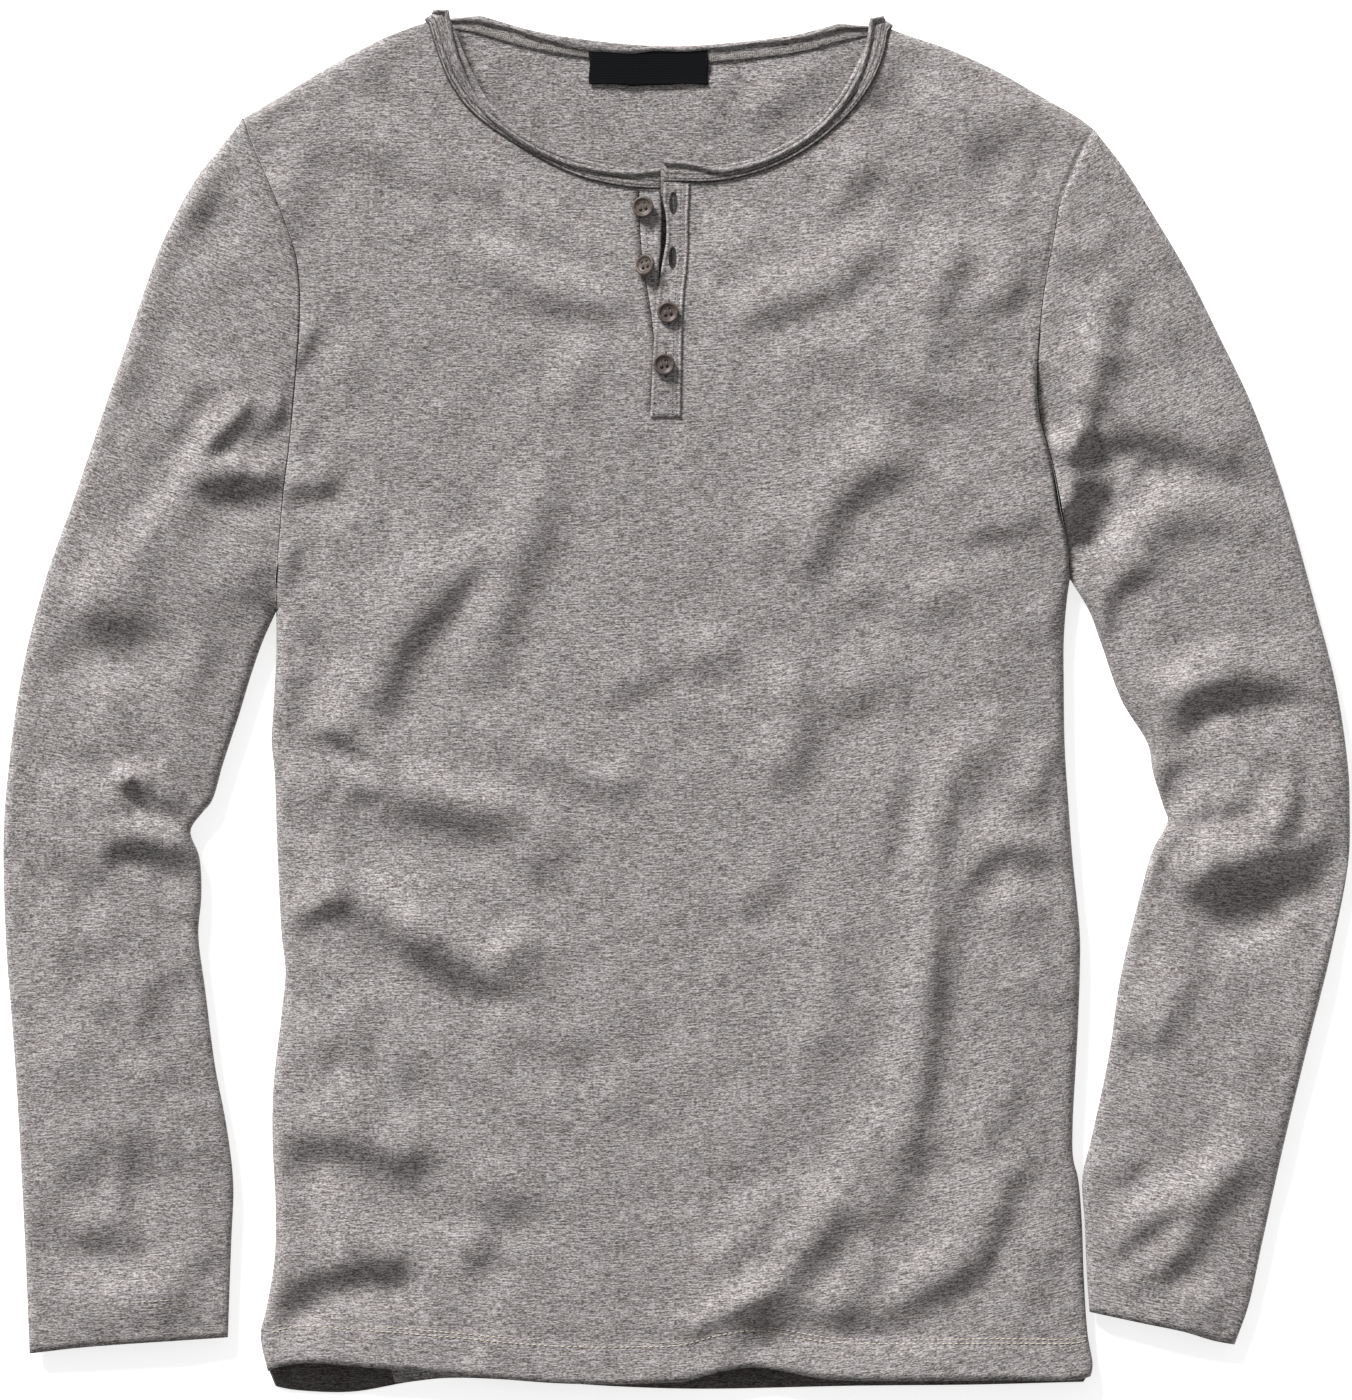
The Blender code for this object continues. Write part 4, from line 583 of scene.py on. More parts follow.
# ---- heights ---------------------------------------------------------------
def fold_height(x, y, folds):
    """Sum of the folds: a crest left of each line, a trough right of it."""
    total = np.zeros_like(x)
    for row in folds:
        rise, sink = (FOLD_HIGH * value for value in row[:2])
        fall, behind, ahead = (FOLD_WIDE * value for value in row[2:5])
        line = smooth_line(np.array(row[5:], dtype=float).reshape(-1, 2), 6)
        reach = FOLD_REACH * max(fall, behind, ahead)
        near = ((x > line[:, 0].min() - reach) & (x < line[:, 0].max() + reach)
                & (y > line[:, 1].min() - reach) & (y < line[:, 1].max() + reach))
        if not near.any():
            continue
        gap, share, side = distance_to(line, x[near], y[near], True)
        crest = side * gap - FOLD_OFF * fall
        trough = side * gap + FOLD_OFF * fall
        fade = ease(share / FOLD_FADE) * ease((1.0 - share) / FOLD_FADE)
        total[near] += fade * (
            rise * np.exp(-(crest / np.where(crest > 0.0, behind, fall)) ** 2)
            - sink * np.exp(-(trough / np.where(trough > 0.0, fall, ahead)) ** 2))
    return total


def rumple(x, y):
    """Slight unevenness everywhere: waves that cross in many directions."""
    total = np.zeros_like(x)
    for k in range(RUMPLE_WAVES):
        turn = 2.399 * k
        length = RUMPLE_LONG * (1.0 - 0.62 * ((k * 0.618) % 1.0))
        phase = 1.7 * k * k
        bend = 7.0 * np.sin((x * math.sin(turn) - y * math.cos(turn)) / (2.3 * length) + k)
        total += (length / RUMPLE_LONG) * np.sin(
            2.0 * math.pi * (x * math.cos(turn) + y * math.sin(turn) + bend) / length + phase)
    return RUMPLE_HIGH * total / math.sqrt(RUMPLE_WAVES)


def edge_factors(x, y, where, sleeve, under):
    """How far a point is from the outer edges, 0 to 1: shoulder line and side line."""
    over = np.ones_like(x)
    beside = np.ones_like(x)
    for name in (("left", "right") if where == "both" else (where,)):
        lines = SIDES[name]
        arm, _ = distance_to(lines["armhole"], x, y)
        far = ease(arm / BLEND)
        if under:
            width = UNDER_ROUND
        else:
            width = ARM_ROUND + (SLEEVE_ROUND - ARM_ROUND if sleeve
                                 else BODY_ROUND - ARM_ROUND) * far
        top, _ = distance_to(lines["top"], x, y)
        flank, _ = distance_to(lines["inner"] if sleeve else lines["side"], x, y)
        shape = rounding if under else turned
        over = over * shape(top, width)
        beside = beside * shape(flank, width)
    return over, beside


def top_height(x, y, where, sleeve, folds=()):
    """Height of the upper face, and how far each outer edge has turned it down."""
    body = soft_table(BODY_CROWN, y, 1)
    neck, _ = distance_to(NECK_LINE, x, y)
    body = NECK_Z + (body - NECK_Z) * ease(neck / NECK_BLEND)
    arm_crown = soft_table(SLEEVE_CROWN, y, 1)
    height = body if not sleeve else arm_crown
    for name in (("left", "right") if where == "both" else (where,)):
        arm, share = distance_to(SIDES[name]["armhole"], x, y)
        mix = 0.5 * (1.0 - ease(arm / BLEND))
        height = height + ((arm_crown - body) if not sleeve else (body - arm_crown)) * mix
        depth = soft_table(VALLEY[name], share, 1)
        width = soft_table(VALLEY[name], share, 3 if sleeve else 2)
        crisp = 1.0 - rounding(arm, width)
        soft = 1.0 - ease(arm / width)
        sharp = 0.0 if sleeve else np.clip(5.0 * (CRISP_TO - share), 0.0, 1.0)
        height = height - depth * (crisp * sharp + soft * (1.0 - sharp))
    height = height + fold_height(x, y, folds) + rumple(x, y)
    over, beside = edge_factors(x, y, where, sleeve, False)
    z = EDGE_Z + (height - EDGE_Z) * over * beside
    z = LOWEST + 0.5 * (z - LOWEST + np.hypot(z - LOWEST, 1.0))
    return z, (height - EDGE_Z) * (1.0 - over), (height - EDGE_Z) * (1.0 - beside)


def under_height(x, y, where, sleeve):
    """Height of the under face: on the table, and up to EDGE_Z at the edges."""
    over, beside = edge_factors(x, y, where, sleeve, True)
    return EDGE_Z * (1.0 - over * beside)


def hem_step(x, y):
    """Slight step where the turned-up hem ends, and its rise toward the edge."""
    edge = smooth_line(FRONT_HEM)
    up = y - np.interp(x, edge[:, 0], edge[:, 1])
    step_down = 1.0 - ease((up - (HEM_UP - 1.0)) / 2.0)
    groove = ridge(up - HEM_UP, GROOVE_WIDE)
    lift = 1.0 - ease(up / HEM_UP)
    return HEM_STEP * step_down - HEM_GROOVE * groove + HEM_LIFT * lift


def front_height(x, y):
    """As top_height, for the front panel."""
    z, over, beside = top_height(x, y, "both", False, BODY_FOLDS)
    return z + 0.5 * SEAM_GAP + hem_step(x, y), over, beside


# ---- grids -----------------------------------------------------------------
def coons(bottom, top, left, right, u, v):
    """Grid between four edges, with columns at the shares u and rows at the shares v."""
    uu = u[None, :, None]
    vv = v[:, None, None]
    corners = ((1 - uu) * (1 - vv) * bottom[0] + uu * (1 - vv) * bottom[-1]
               + (1 - uu) * vv * top[0] + uu * vv * top[-1])
    return ((1 - vv) * bottom[None] + vv * top[None]
            + (1 - uu) * left[:, None] + uu * right[:, None] - corners)


def rounded_steps(width, count):
    """Steps across a rounded edge, close together at the edge."""
    angle = np.linspace(0.0, 0.5 * math.pi, count + 1)[1:]
    return width * (1.0 - np.cos(angle))


def armhole_shares(line, near_count, middle_count):
    """Shares along an armhole, close together at both ends."""
    run = lengths_of(line)[-1]
    near = rounded_steps(ARMHOLE_NEAR, near_count) / run
    middle = np.linspace(near[-1], 1.0 - near[-1], middle_count + 1)[1:-1]
    return np.concatenate([[0.0], near, middle, 1.0 - near[::-1], [1.0]])


ARMHOLE_NEAR = 40.0    # length of the close rows at each end of an armhole
NEAR_ROWS = 12
MIDDLE_ROWS = 46
SIDE_ROWS = 122
NOTCH_SPLIT = SIDE_ROWS + NEAR_ROWS + 16
ROUND_COLUMNS = 20
REST_COLUMNS = 64
MIDDLE_COLUMNS = 6
HEM_SPLIT = (-20.0, 2.0)    # x where the hem of the left half ends, and of the right half
NECK_SHARE = 0.52      # the front's columns from this share on end at the neck


def flank_points(name, rows, near=NEAR_ROWS, middle=MIDDLE_ROWS):
    """Points up the side of the body and on up the armhole."""
    lines = SIDES[name]
    side = points_at(lines["side"], np.linspace(0.0, 1.0, rows + 1))
    arm = points_at(lines["armhole"], armhole_shares(lines["armhole"], near, middle))
    return np.vstack([side, arm[1:]])


def half_front(name):
    """Grid of one half of the front, from its side to the notch of the placket."""
    left = flank_points(name, SIDE_ROWS)
    run = lengths_of(left)
    v = run / run[-1]
    hem = smooth_line(FRONT_HEM)
    notch = smooth_line(NOTCH_LEFT if name == "left" else NOTCH_RIGHT)
    if name == "left":
        keep = hem[hem[:, 0] <= HEM_SPLIT[0] + 0.01]
    else:
        keep = hem[hem[:, 0] >= HEM_SPLIT[1] - 0.01][::-1]
    hem_run = lengths_of(keep)[-1]
    near = rounded_steps(BODY_ROUND, ROUND_COLUMNS) / hem_run
    u = np.concatenate([[0.0], near, np.linspace(near[-1], 1.0, REST_COLUMNS + 1)[1:]])
    bottom = points_at(keep, u)
    shoulder = SIDES[name]["shoulder"]
    neck = smooth_line(FRONT_NECK_LEFT if name == "left" else FRONT_NECK_RIGHT)
    split = int(np.searchsorted(u, NECK_SHARE))
    first = u[:split + 1] / u[split]
    second = (u[split:] - u[split]) / (1.0 - u[split])
    top = np.vstack([points_at(shoulder, first), points_at(neck, second)[1:]])
    low = v[:NOTCH_SPLIT + 1] / v[NOTCH_SPLIT]
    high = (v[NOTCH_SPLIT:] - v[NOTCH_SPLIT]) / (1.0 - v[NOTCH_SPLIT])
    stem = np.array([bottom[-1], notch[0]])
    inner = np.vstack([points_at(stem, low), points_at(notch, high)[1:]])
    return coons(bottom, top, left, inner, u, v)


def added(name, data):
    """A new object in the scene."""
    obj = bpy.data.objects.new(name, data)
    bpy.context.scene.collection.objects.link(obj)
    return obj


def make_piece(name, points, faces, uv, wall, material, node):
    """Object from points in millimetres, with a cloth map and a wall."""
    mesh = bpy.data.meshes.new(name)
    mesh.from_pydata([tuple(p) for p in points * MM], [], faces)
    layer = mesh.uv_layers.new(name="cloth")
    index = np.empty(len(mesh.loops), dtype=np.int32)
    mesh.loops.foreach_get("vertex_index", index)
    layer.data.foreach_set("uv", (uv[index] * MM).astype(np.float32).ravel())
    mesh.materials.append(material)
    mesh.shade_smooth()
    mesh.update()
    obj = added(name, mesh)
    thick = obj.modifiers.new("wall", "SOLIDIFY")
    thick.thickness = wall * MM
    thick.offset = -1.0
    thick.use_rim = True
    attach(obj, "root")
    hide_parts(node)
    return obj


def grid_faces(rows, columns, skip=None, flip=False):
    """Four-cornered faces of a grid, without those that skip marks."""
    faces = []
    for j in range(rows - 1):
        for i in range(columns - 1):
            if skip is not None and skip[j, i]:
                continue
            a = j * columns + i
            quad = (a, a + 1, a + columns + 1, a + columns)
            faces.append(quad[::-1] if flip else quad)
    return faces


def used_only(points, uv, faces):
    """Drop the points that no face uses."""
    used = np.unique(np.array([k for face in faces for k in face]))
    place = -np.ones(len(points), dtype=int)
    place[used] = np.arange(len(used))
    return points[used], uv[used], [tuple(int(place[k]) for k in face) for face in faces]


# ---- finishes --------------------------------------------------------------
def blank(name, colour, rough, specular):
    """A plain material, with its node tree and its shader."""
    material = bpy.data.materials.new(name)
    material.use_nodes = True
    shader = material.node_tree.nodes["Principled BSDF"]
    shader.inputs["Base Color"].default_value = (*colour, 1.0)
    shader.inputs["Roughness"].default_value = rough
    shader.inputs["Specular IOR Level"].default_value = specular
    return material, material.node_tree, shader


def noise_on(tree, source, along, across, place, detail):
    """Noise whose grains are so long along u and so wide along v, in metres."""
    mapping = tree.nodes.new("ShaderNodeMapping")
    mapping.inputs["Scale"].default_value = (1.0 / along, 1.0 / across, 1.0)
    mapping.inputs["Location"].default_value = (place, 0.37 * place, 0.0)
    tree.links.new(source, mapping.inputs["Vector"])
    noise = tree.nodes.new("ShaderNodeTexNoise")
    noise.noise_dimensions = "2D"
    noise.inputs["Scale"].default_value = 1.0
    noise.inputs["Detail"].default_value = detail
    noise.inputs["Roughness"].default_value = 0.62
    tree.links.new(mapping.outputs["Vector"], noise.inputs["Vector"])
    return noise.outputs["Fac"]


def maths(tree, what, a, b, c=None):
    """A sum, product or the like of numbers and of other nodes' outputs."""
    made = tree.nodes.new("ShaderNodeMath")
    made.operation = what
    for socket, value in zip(made.inputs, (a, b, c)):
        if value is None:
            continue
        if hasattr(value, "is_linked"):
            tree.links.new(value, socket)
        else:
            socket.default_value = value
    return made.outputs[0]


def ramp(tree, source, stops):
    """Colours at given values of the source, blended between them."""
    made = tree.nodes.new("ShaderNodeValToRGB")
    line = made.color_ramp
    line.elements[0].position, line.elements[0].color = stops[0][0], (*stops[0][1], 1.0)
    line.elements[1].position, line.elements[1].color = stops[-1][0], (*stops[-1][1], 1.0)
    for position, colour in stops[1:-1]:
        line.elements.new(position).color = (*colour, 1.0)
    tree.links.new(source, made.inputs["Fac"])
    return made.outputs["Color"]


def bumped(tree, shader, height, strength, distance):
    """Small relief on the shader's surface; the distance is in metres."""
    bump = tree.nodes.new("ShaderNodeBump")
    bump.inputs["Strength"].default_value = strength
    bump.inputs["Distance"].default_value = distance
    tree.links.new(height, bump.inputs["Height"])
    tree.links.new(bump.outputs["Normal"], shader.inputs["Normal"])


def jersey(name, tint, place, seam=False):
    """Heather jersey: light and dark fibres drawn out along the courses."""
    stops = [tuple(c * t for c, t in zip(colour, tint)) for colour in JERSEY]
    material, tree, shader = blank(name, stops[1], 0.93, 0.12)
    shader.inputs["Sheen Weight"].default_value = 0.10
    shader.inputs["Sheen Roughness"].default_value = 0.5
    uv = tree.nodes.new("ShaderNodeUVMap")
    uv.uv_map = "cloth"
    source = uv.outputs["UV"]
    tone = 0.5
    for along, across, detail, share in HEATHER:
        place += 7.3
        grain = noise_on(tree, source, along, across, place, detail)
        tone = maths(tree, "MULTIPLY_ADD", grain, share,
                     maths(tree, "SUBTRACT", tone, 0.5 * share))
    colour = ramp(tree, tone, list(zip((0.0, 0.5, 1.0), stops)))
    hue = ramp(tree, noise_on(tree, source, 0.017, 0.006, place + 31.0, 2.0),
               [(0.3, (1.010, 1.0, 0.988)), (0.5, (1.0, 1.0, 1.0)), (0.7, (0.988, 0.998, 1.016))])
    colour = multiplied(tree, colour, hue)
    # with seam set: painted shade, dark lines across the band in the seam's ditch and in the grooves
    # of its stitches
    if seam:
        parts = tree.nodes.new("ShaderNodeSeparateXYZ")
        tree.links.new(source, parts.inputs[0])
        up = maths(tree, "MULTIPLY", parts.outputs["Y"], 1.0 / SEAM_REACH)
        colour = multiplied(tree, colour, ramp(tree, up, SEAM_PAINTED_SHADE))
    tree.links.new(colour, shader.inputs["Base Color"])
    bumped(tree, shader, tone, 0.5, 0.0002)
    return material


def multiplied(tree, first, second):
    """Product of two colours."""
    made = tree.nodes.new("ShaderNodeVectorMath")
    made.operation = "MULTIPLY"
    tree.links.new(first, made.inputs[0])
    tree.links.new(second, made.inputs[1])
    return made.outputs[0]


def thread(name, colour):
    """Thread, unevenly light and dark."""
    material, tree, shader = blank(name, colour, 0.75, 0.3)
    place = tree.nodes.new("ShaderNodeTexCoord")
    grain = noise_on(tree, place.outputs["Object"], 0.0006, 0.0006, 2.0, 2.0)
    light = tuple(1.25 * value for value in colour)
    dark = tuple(0.7 * value for value in colour)
    tree.links.new(ramp(tree, grain, [(0.3, dark), (0.7, light)]), shader.inputs["Base Color"])
    bumped(tree, shader, grain, 0.4, 0.0001)
    return material


def horn(name):
    """Brown-grey button, faintly streaked."""
    dark, middle_tone, light = (0.050, 0.037, 0.031), (0.085, 0.065, 0.056), (0.135, 0.107, 0.093)
    material, tree, shader = blank(name, middle_tone, 0.42, 0.32)
    place = tree.nodes.new("ShaderNodeTexCoord")
    grain = noise_on(tree, place.outputs["Object"], 0.0060, 0.0016, 5.0, 3.0)
    tree.links.new(ramp(tree, grain, [(0.25, dark), (0.5, middle_tone), (0.8, light)]),
                   shader.inputs["Base Color"])
    bumped(tree, shader, grain, 0.15, 0.0002)
    return material


def woven(name):
    """Black woven tape: fine ribs across it."""
    material, tree, shader = blank(name, (0.004, 0.0045, 0.0055), 0.8, 0.06)
    uv = tree.nodes.new("ShaderNodeUVMap")
    uv.uv_map = "cloth"
    ribs = tree.nodes.new("ShaderNodeTexWave")
    ribs.wave_type = "BANDS"
    ribs.bands_direction = "Y"
    ribs.inputs["Scale"].default_value = 1.0 / 0.0042
    ribs.inputs["Distortion"].default_value = 0.4
    tree.links.new(uv.outputs["UV"], ribs.inputs["Vector"])
    grain = noise_on(tree, uv.outputs["UV"], 0.0012, 0.0006, 7.0, 2.0)
    both = maths(tree, "MULTIPLY_ADD", ribs.outputs["Fac"], 0.5, grain)
    tree.links.new(ramp(tree, both, [(0.2, (0.0022, 0.0025, 0.003)), (1.0, (0.006, 0.0065, 0.0075))]),
                   shader.inputs["Base Color"])
    bumped(tree, shader, both, 0.5, 0.0002)
    return material


# length, width, detail and share of each grain in the heather; the sizes are in metres
HEATHER = [(0.0075, 0.0009, 3.0, 1.6), (0.0026, 0.00075, 2.0, 1.45), (0.0013, 0.0006, 1.0, 1.4),
           (0.030, 0.009, 2.0, 0.35)]
# darkest, middle and lightest fibres
JERSEY = [(0.074, 0.066, 0.063), (0.234, 0.215, 0.211), (0.462, 0.438, 0.434)]
# painted shade across the neckband, from its seam: two dark lines in the grooves of its rows of
# stitches, and one in the seam's ditch; the places are shares of SEAM_REACH, in metres
SEAM_REACH = 0.020
SEAM_PAINTED_SHADE = [(0.0, (0.20, 0.19, 0.19)), (0.045, (0.26, 0.25, 0.25)), (0.075, (1.0, 1.0, 1.0)),
             (0.082, (1.0, 1.0, 1.0)), (0.112, (0.38, 0.37, 0.36)), (0.142, (1.0, 1.0, 1.0)),
             (0.208, (1.0, 1.0, 1.0)), (0.240, (0.38, 0.37, 0.36)), (0.272, (1.0, 1.0, 1.0))]
jersey_look = jersey("jersey", (1.0, 1.0, 1.0), 0.0)
sleeve_look = jersey("jersey_sleeves", (0.985, 0.985, 0.985), 51.0)
band_look = jersey("jersey_band", (1.0, 1.0, 1.0), 97.0)
# a darker copy of the jersey: painted shade on the back's hem, where the front's hem shades it
hem_painted_shade_look = jersey("jersey_hem_painted_shade", (0.34, 0.33, 0.32), 23.0)
# the neckband's jersey, with painted shade at its seam and along its rows of stitches
neck_seam_shade_look = jersey("jersey_neckband_seam_shade", (0.84, 0.84, 0.84), 97.0, True)
thread_look = thread("thread", (0.070, 0.063, 0.060))
# buttonholes: near black, darker than the other thread; thread, and painted shade in the holes
hole_thread_and_shade_look = thread("thread_buttonholes_and_shade", (0.028, 0.025, 0.024))
hem_thread_look = thread("thread_hems", (0.50, 0.46, 0.37))
pale_thread_look = thread("thread_pale", (0.36, 0.335, 0.285))
button_thread_look = thread("thread_buttons", (0.13, 0.11, 0.09))
label_thread_look = thread("thread_label", (0.012, 0.013, 0.016))
horn_look = horn("button_horn")
label_look = woven("label_tape")


# ---- front -----------------------------------------------------------------
def neck_edge(x, y):
    """The front's raw neck edge curls up a little inside the neckband."""
    gap, _ = distance_to(NECK_LINE, x, y)
    return 0.9 * ridge(gap - 1.3, 1.2) - 0.5 * ridge(gap - 4.2, 1.4)


def front_top(x, y):
    """Height of the front panel's face."""
    return front_height(x, y)[0]


left_half = half_front("left")
right_half = half_front("right")[:, ::-1]
between = np.linspace(0.0, 1.0, MIDDLE_COLUMNS + 1)[1:-1][None, :, None]
middle = left_half[:, -1:] + (right_half[:, :1] - left_half[:, -1:]) * between
flat = np.concatenate([left_half, middle, right_half], axis=1)
notch_column = left_half.shape[1] - 1
x = flat[..., 0]
y = flat[..., 1]
z, over, beside = front_height(x, y)
z = z + neck_edge(x, y)
# the courses run level on the left and turn upward from COURSE_LEVEL on
COURSE_LEVEL = -60.0
COURSE_REACH = 280.0
TILT = math.tan(math.radians(14.0))
course_rise = 0.5 * np.clip(x - COURSE_LEVEL, 0.0, None) ** 2 / COURSE_REACH * TILT
uv = np.stack([x + np.sign(x) * beside, y + over - course_rise], axis=-1)
skip = np.zeros((flat.shape[0] - 1, flat.shape[1] - 1), dtype=bool)
skip[NOTCH_SPLIT:, notch_column:notch_column + MIDDLE_COLUMNS] = True
points, uv, faces = used_only(np.dstack([x, y, z]).reshape(-1, 3), uv.reshape(-1, 2),
                              grid_faces(flat.shape[0], flat.shape[1], skip))
front_piece = make_piece("front_cloth", points, faces, uv, CLOTH, jersey_look, "front")

# ---- back ------------------------------------------------------------------
BACK_SHOULDER_COLUMNS = 34
BACK_NECK_COLUMNS = 56
BACK_EDGE = 14
BACK_ROWS = 90
BACK_NEAR = 10
BACK_MIDDLE = 34
BACK_NECK_Y = 285.0    # the folds at the back of the neck start above this line
HEM_SHADE_LINE = -340.0    # painted shade: the inside of the back's hem is coloured dark below this line, where the front's hem shades it
HEM_LIT = (-152.0, -112.0)    # except here
left = flank_points("left", BACK_ROWS, near=BACK_NEAR, middle=BACK_MIDDLE)
right = flank_points("right", BACK_ROWS, near=BACK_NEAR, middle=BACK_MIDDLE)
left[0] = BACK_HEM[0]
right[0] = BACK_HEM[-1]
v = lengths_of(left) / lengths_of(left)[-1]
top = np.vstack([evenly(SHOULDER_LEFT[:-1], BACK_SHOULDER_COLUMNS + 1),
                 evenly(BACK_NECK, BACK_NECK_COLUMNS + 1)[1:-1],
                 evenly(SHOULDER_RIGHT[:-1], BACK_SHOULDER_COLUMNS + 1)[::-1]])
count = 2 * BACK_SHOULDER_COLUMNS + BACK_NECK_COLUMNS
edge = np.concatenate([[0.0], rounded_steps(0.045, BACK_EDGE)])
u = np.concatenate([edge, np.linspace(edge[-1], 1.0 - edge[-1], count - 2 * BACK_EDGE + 1)[1:-1],
                    1.0 - edge[::-1]])
bottom = points_at(smooth_line(BACK_HEM), u)
flat = coons(bottom, top, left, right, u, v)
x = flat[..., 0]
y = flat[..., 1]
z = np.maximum(under_height(x, y, "both", False) - 0.5 * SEAM_GAP, 0.0)
z = z + np.maximum(fold_height(x, y, BACK_FOLDS), 0.0) * ease((y - BACK_NECK_Y) / 15.0)
uv = np.stack([x, y], axis=-1)
back_piece = make_piece("back_cloth", np.dstack([x, y, z]).reshape(-1, 3),
                        grid_faces(flat.shape[0], flat.shape[1], flip=True),
                        uv.reshape(-1, 2), CLOTH, jersey_look, "back")
# painted shade on the back's hem: its faces below the line, except the lit stretch, take the darker
# jersey
back_piece.data.materials.append(hem_painted_shade_look)
for face in back_piece.data.polygons:
    across, up = face.center.x / MM, face.center.y / MM
    if up < HEM_SHADE_LINE and not HEM_LIT[0] < across < HEM_LIT[1]:
        face.material_index = 1


# ---- sleeves ---------------------------------------------------------------
SLEEVE_ROWS = 165
# turn of the courses, in degrees, down each sleeve: y, turn
COURSES = {"left": [(-350.0, 3.0), (-120.0, 2.0), (0.0, -10.0), (150.0, -17.0), (310.0, -18.0)],
           "right": [(-350.0, -12.0), (-150.0, -8.0), (0.0, 6.0), (150.0, 20.0), (310.0, 24.0)]}
INNER_GATHER = 1.35    # the columns on the inner edge lie closer together by the underarm
# the courses turn about the elbow
ELBOW = {"left": (-300.0, -60.0), "right": (300.0, -60.0)}


def sleeve_piece(name, flip):
    """A sleeve: its upper face, and its under face back to the start, as one tube."""
    lines = SIDES[name]
    shares = armhole_shares(lines["armhole"], NEAR_ROWS, MIDDLE_ROWS)
    arm = points_at(lines["armhole"], shares)
    along = np.gradient(arm, axis=0)
    along = along / np.linalg.norm(along, axis=1)[:, None]
    away = np.stack([-along[:, 1], along[:, 0]], axis=1)
    if name == "right":
        away = -away
    arm = arm + away * SEAM_GAP
    cuff = smooth_line(CUFF_LEFT if name == "left" else CUFF_RIGHT)[::-1]
    u = np.linspace(0.0, 1.0, SLEEVE_ROWS + 1)
    inner = points_at(lines["inner"], u ** INNER_GATHER)
    outer = points_at(lines["outer"], u)
    inner[0] = arm[0]
    outer[0] = arm[-1]
    flat = coons(inner, outer, arm, points_at(cuff, shares), u, shares)
    x = flat[..., 0]
    y = flat[..., 1]
    z, over, beside = top_height(x, y, name, True,
                                 LEFT_FOLDS if name == "left" else RIGHT_FOLDS)
    cuff_gap, _ = distance_to(cuff, x, y)
    step_down = 1.0 - ease((cuff_gap - (HEM_UP - 1.0)) / 2.0)
    z = z + CUFF_STEP * step_down * ease(z / EDGE_Z - 1.0)
    z = z - CUFF_GROOVE * ridge(cuff_gap - HEM_UP, GROOVE_WIDE) * ease(z / EDGE_Z - 1.0)
    low = under_height(x, y, name, True)
    turn = np.radians(soft_table(COURSES[name], y, 1))
    away_x = x - ELBOW[name][0]
    away_y = y - ELBOW[name][1]
    sign = -1.0 if name == "left" else 1.0
    across = away_x + sign * (over - beside)
    map_u = across * np.cos(turn) + away_y * np.sin(turn)
    map_v = -across * np.sin(turn) + away_y * np.cos(turn)
    ring = np.concatenate([np.dstack([x, y, z]), np.dstack([x, y, low])[-2:0:-1]], axis=0)
    ring_uv = np.dstack([map_u, map_v])
    ring_uv = np.concatenate([ring_uv, ring_uv[-2:0:-1]], axis=0)
    around, rows = ring.shape[:2]
    faces = []
    for k in range(around):
        for i in range(rows - 1):
            a = k * rows + i
            b = ((k + 1) % around) * rows + i
            quad = (a, a + 1, b + 1, b)
            faces.append(quad[::-1] if flip else quad)
    return make_piece("sleeve_" + name + "_cloth", ring.reshape(-1, 3), faces,
                      ring_uv.reshape(-1, 2), CLOTH, sleeve_look, "sleeve_" + name)


sleeve_left_piece = sleeve_piece("left", True)
sleeve_right_piece = sleeve_piece("right", False)

# ---- neckband --------------------------------------------------------------
BAND_LIFT = 1.5      # band's face above the front's face
LIP_HALF = 1.45      # half the width of the rolled lip
LIP_HIGH = 1.7
FLAT_POINTS = 14
ROLL_POINTS = 15
BACK_FLAT = 7.4      # from the band's seam at the back to its top line
BAND_FRONT_COUNT = 95
BAND_BACK_COUNT = 90


def unit(vector):
    """The vector at length 1."""
    return vector / np.linalg.norm(vector)


def front_profile(width):
    """Across the band on the front: distance from the seam, height over the lay."""
    flat_part = np.linspace(0.0, width - 2.0 * LIP_HALF, FLAT_POINTS)
    turn = np.linspace(0.0, math.pi, ROLL_POINTS + 1)[1:]
    rolled = width - LIP_HALF * (1.0 + np.cos(turn))
    lift = np.concatenate([np.zeros(FLAT_POINTS), LIP_HIGH * np.sin(turn)])
    across = np.concatenate([flat_part, rolled])
    lift = lift - 0.55 * ridge(across - (width - 3.9), 1.3)
    lift = lift - 0.6 * np.clip(1.0 - across / 0.9, 0.0, 1.0) ** 2
    return across, lift


def back_profile(roll):
    """Across the band at the back: from its seam, over the roll, to its inner edge."""
    shape = smooth_line([(BACK_FLAT, 0.0), (5.0, 0.0), (2.6, 0.05), (1.0, 0.45), (0.15, 1.4),
                         (0.1, 2.5), (0.9, 3.4), (0.55 * roll, 3.9), (0.85 * roll, 3.5),
                         (roll, 2.7), (roll + 0.5, 2.05), (roll + 1.4, 2.1),
                         (0.5 * roll + 6.0, 2.25), (9.0, 2.1), (9.6, 1.85)], 6)
    shape = points_at(shape, np.linspace(0.0, 1.0, FLAT_POINTS + ROLL_POINTS))
    return BACK_FLAT - shape[:, 0], -shape[:, 1]


def front_sections(seam, lip, count):
    """Sections of the band between its seam and its lip on the front."""
    out = []
    for a, b in zip(evenly(seam, count), evenly(lip, count)):
        width = np.linalg.norm(b - a)
        across, lift = front_profile(width)
        line = a + (b - a) * (across / width)[:, None]
        out.append(np.column_stack([line, front_top(line[:, 0], line[:, 1]) + BAND_LIFT + lift]))
    return out


def back_section(root, normal, roll):
    """Section of the band at the back; the height is turned upside down."""
    across, lift = back_profile(roll)
    return np.column_stack([root[0] + normal[0] * across, root[1] + normal[1] * across, -lift])


